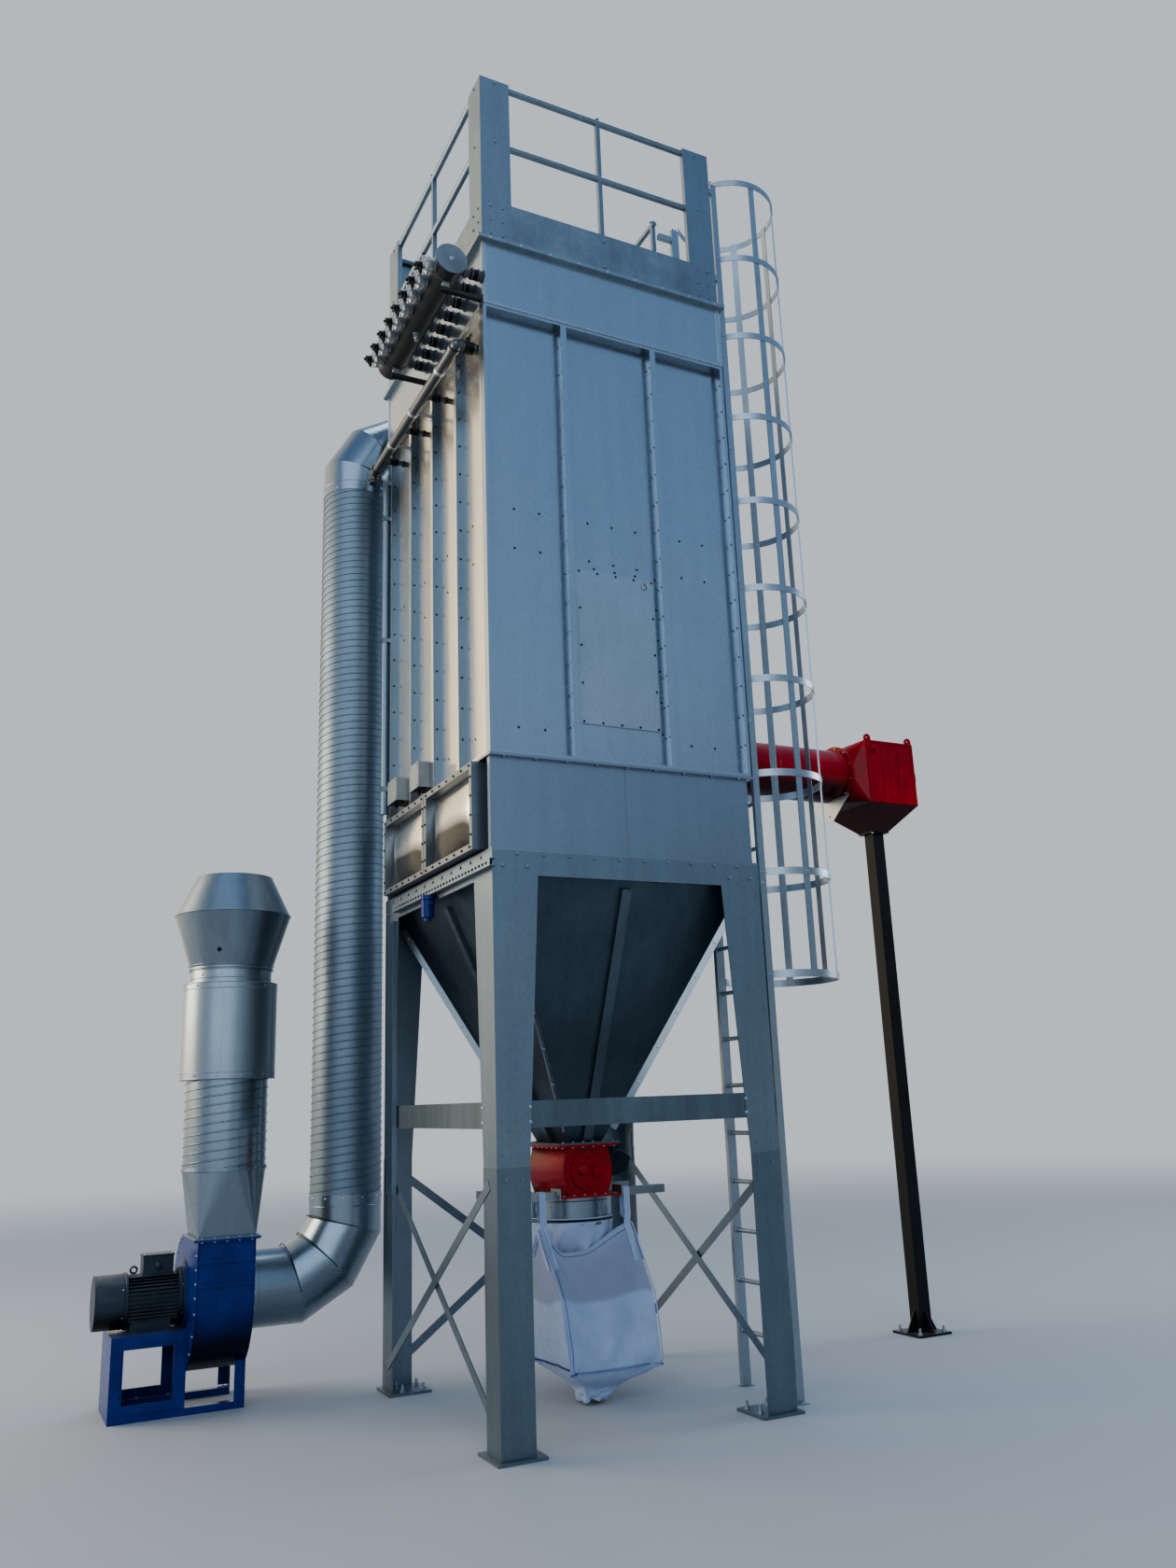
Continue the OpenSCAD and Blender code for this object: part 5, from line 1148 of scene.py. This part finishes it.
for i in range(total):
    for j in range(1, lines):
        kink = 1 - abs(j / lines - 0.5) * 2
        cloth_point = draped[i * (lines + 1) + j]
        cloth_point.x += 0.040 * kink
        if i // columns in (0, 2) and i % columns:
            fold = 0.06 * kink * math.sin(math.pi * (i % columns) / columns) ** 0.5
            cloth_point.y += fold if i < columns else -fold
        for i0, j0, i1, j1, depth in wrinkles:
            over, under = i1 - i0, j1 - j0
            part = min(1, max(0, ((i - i0) * over + (j - j0) * under) / (over * over + under * under)))
            gap = math.hypot(i - i0 - part * over, j - j0 - part * under)
            cloth_point.y -= depth * math.exp(-(gap / 0.95) ** 2) * math.sin(math.pi * (0.15 + 0.7 * part))
for vertex, place in zip(bag_mesh.vertices, draped):
    vertex.co = place
bag_mesh.update()
# Painted shade: the upper half of each wall is marked to be greyed in the weave, less so at the top hem.
painted_shade = bag_mesh.attributes.new("painted_shade", "FLOAT", "POINT")
for i in range(total):
    for j in range(lines // 2):
        painted_shade.data[i * (lines + 1) + j].value = min(1, j / 3 + 0.3)
folded = bag_mesh.attributes.new("crease_edge", "FLOAT", "EDGE")
for edge_of in bag_mesh.edges:
    a, b = edge_of.vertices
    at_half = a % (lines + 1) == b % (lines + 1) == lines // 2
    if max(a, b) < total * (lines + 1) and at_half and a // (lines + 1) // columns in (0, 2):
        folded.data[edge_of.index].value = 0.8


def cloth_at(i, j):
    """Where the settled bag has its column i, counted round from the front left corner, and row j."""
    return draped[(i % total) * (lines + 1) + j]


def outward(i, j):
    """Which way the cloth faces there."""
    return bag_mesh.vertices[(i % total) * (lines + 1) + j].normal.copy()


if (outward(columns // 2, 13)).y > 0:
    bag_mesh.flip_normals()
bag_mesh.shade_smooth()
bag_mesh.materials.append(white_weave)
rounder = bag_body.modifiers.new("rounder", "SUBSURF")
rounder.levels = rounder.render_levels = 2
stuff = bag_body.modifiers.new("stuff", "SOLIDIFY")
stuff.thickness = 0.0012
stuff.offset = -1
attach(bag_body, "root")
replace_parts(bag_body, "bulk_bag")


def thread(bm, points, radius, sides=5):
    """A thread or cord of radius mm along points."""
    rings = []
    for n, point in enumerate(points):
        way = (points[min(n + 1, len(points) - 1)] - points[max(n - 1, 0)]).normalized()
        across = way.orthogonal().normalized()
        third = way.cross(across)
        rings.append([bm.verts.new(point + (across * math.cos(a) + third * math.sin(a)) * radius / 1000)
                      for a in (2 * math.pi * k / sides for k in range(sides))])
    for low, high in zip(rings, rings[1:]):
        shift = min(range(sides), key=lambda s: (high[s].co - low[0].co).length)
        for k in range(sides):
            bm.faces.new((low[k], low[(k + 1) % sides], high[(k + 1 + shift) % sides], high[(k + shift) % sides]))
    bm.faces.new(rings[0])
    bm.faces.new(rings[-1])


def between(points, step):
    """Points evenly spaced along a line of points."""
    spaced, carry = [points[0]], 0.0
    for a, b in zip(points, points[1:]):
        length = (b - a).length
        at = step - carry
        while at <= length:
            spaced.append(a.lerp(b, at / length))
            at += step
        carry = length - (at - step)
    return spaced


stitches = bmesh.new()
piping = bmesh.new()
for corner in range(4):
    i = corner * columns
    edge_line = between([cloth_at(i, j) + outward(i, j) * 0.003 for j in range(lines + 1)], 0.006)
    inner_line = between([cloth_at(i + 1, j) + outward(i + 1, j) * 0.0035 for j in range(lines + 1)], 0.012)
    thread(piping, edge_line[::3], 4.2, 8)
    zigzag = []
    for n, point in enumerate(edge_line):
        beside = inner_line[min(n // 2, len(inner_line) - 1)]
        way = (beside - point).normalized()
        away = (point - middle - Vector((lean, 0, 0)) * (top_z - point.z) / (top_z - base_z))
        away.z = 0
        zigzag.append(point + away.normalized() * 0.0045 + way * (0.0 if n % 2 else 0.013))
    thread(stitches, zigzag, 1.6, 4)
    thread(stitches, inner_line, 1.3, 4)
for wall in range(4):
    base = between([cloth_at(wall * columns + n, lines) + Vector((0, 0, 0.001)) for n in range(columns + 1)], 0.006)
    thread(piping, base[::3], 4.2, 8)
    out = Vector((around[wall][3], -around[wall][2], 0))
    zigzag = [p + out * 0.005 + Vector((0, 0, 0.011 if n % 2 else -0.002)) for n, p in enumerate(base)]
    thread(stitches, zigzag, 1.6, 4)
    around_wall = run(wall * columns, 1, columns + 1)
    top_hem, sewn_row = (between([cloth_at(i, row) + outward(i, row) * 0.002 for i in around_wall], 0.012)
                         for row in (0, 1))
    thread(piping, top_hem, 3.0, 6)
    thread(stitches, sewn_row, 1.3, 4)
blue_thread = enamel("blue_thread", (0.015, 0.04, 0.26), 0.6, dust=0.0)
bag_seams = made("bag_seams", piping, white_weave, crease=60)
bag_stitches = made("bag_stitches", stitches, blue_thread, crease=60)


# Bag loops: flat woven straps. Each is sewn to two walls beside a corner of the bag and
# passes over one arm.
def strap(bm, points, widths, wide, thick):
    """A flat strap along points; widths gives the way across it at each point."""
    rings = []
    for n, (point, across) in enumerate(zip(points, widths)):
        way = (points[min(n + 1, len(points) - 1)] - points[max(n - 1, 0)]).normalized()
        across = (across - way * across.dot(way)).normalized()
        face = way.cross(across)
        rings.append([bm.verts.new(point + across * wide * a / 2000 + face * thick * b / 2000)
                      for a, b in ((-1, -1), (0, -1), (1, -1), (1, 1), (0, 1), (-1, 1))])
    for low, high in zip(rings, rings[1:]):
        for k in range(6):
            bm.faces.new((low[k], low[(k + 1) % 6], high[(k + 1) % 6], high[k]))
    bm.faces.new(rings[0])
    bm.faces.new(rings[-1])


over_arm = ((-30, 1000), (-26, 1060), (-24.5, 1100), (-24.5, 1140), (-22, 1149), (-16, 1151.8), (0, 1152),
            (16, 1151.8), (22, 1149), (24.5, 1140), (24.5, 1100), (26, 1060), (30, 1000))
loops = bmesh.new()
for corner, (side, end) in enumerate(((-1, -1), (1, -1), (1, 1), (-1, 1))):
    i = corner * columns
    arm_x, arm_middle = 820 + side * 267.5, 935 + end * 220
    hand = side * end
    level, upright = Vector(RIGHT), Vector(BACK)
    points = [cloth_at(i + hand, j) + outward(i + hand, j) * 0.003 for j in (7, 5, 3, 2, 1, 0)]
    points += [spot(arm_x, arm_middle + dy, z) for dy, z in over_arm]
    points += [cloth_at(i - hand, j) + outward(i - hand, j) * 0.003 for j in (0, 1, 2, 3, 5, 7)]
    turning = (level * 0.4 + upright * 0.6 * hand).normalized()
    widths = [level] * 18 + [turning] + [upright * hand] * 6
    strap(loops, points, widths, 40, 2.4)
bag_loops = made("bag_loops", loops, white_weave, crease=50)


# Bag neck: a thin white sleeve that joins the chute to the bag. A cord ties it round the
# chute.
neck = bmesh.new()
folds, depth = 96, 16
sleeve = {}
for i in range(folds):
    for j in range(depth + 1):
        turn = 2 * math.pi * i / folds
        down = j / depth
        pleat = 9 * math.sin(turn * 11) + 8 * math.sin(turn * 17 + 1.3 + down * 3)
        pleat += 5 * math.sin(turn * 23 + down * 9) + 10 * math.sin(turn * 5 + down * 2)
        pleat *= down
        size = 243.5 + (1 + pleat) * min(1, down * 3) - 40 * down ** 2
        x = 845 + (size + 6 * down) * math.cos(turn) - 20 * down
        z = 998 - 215 * down - 5 * math.sin(turn * 3) * down
        sleeve[i, j] = neck.verts.new(spot(x, 935 + size * math.sin(turn), z))
for i in range(folds):
    for j in range(depth):
        neck.faces.new((sleeve[i, j], sleeve[i, j + 1], sleeve[(i + 1) % folds, j + 1], sleeve[(i + 1) % folds, j]))
bag_neck = made("bag_neck", neck, white_weave, crease=70)
skin_of_neck = bag_neck.modifiers.new("cloth", "SOLIDIFY")
skin_of_neck.thickness = 0.0008
ties = bmesh.new()
bead(ties, spot(845, 935, 989), 246, (RIGHT, (0, 1, 2 / 246)), 3.5)
bead(ties, spot(845, 935, 979), 246.5, ((1, 0, 1 / 246.5), (0, 1, -2 / 246.5)), 3.5)
neck_ties = made("neck_ties", ties, black_plastic)
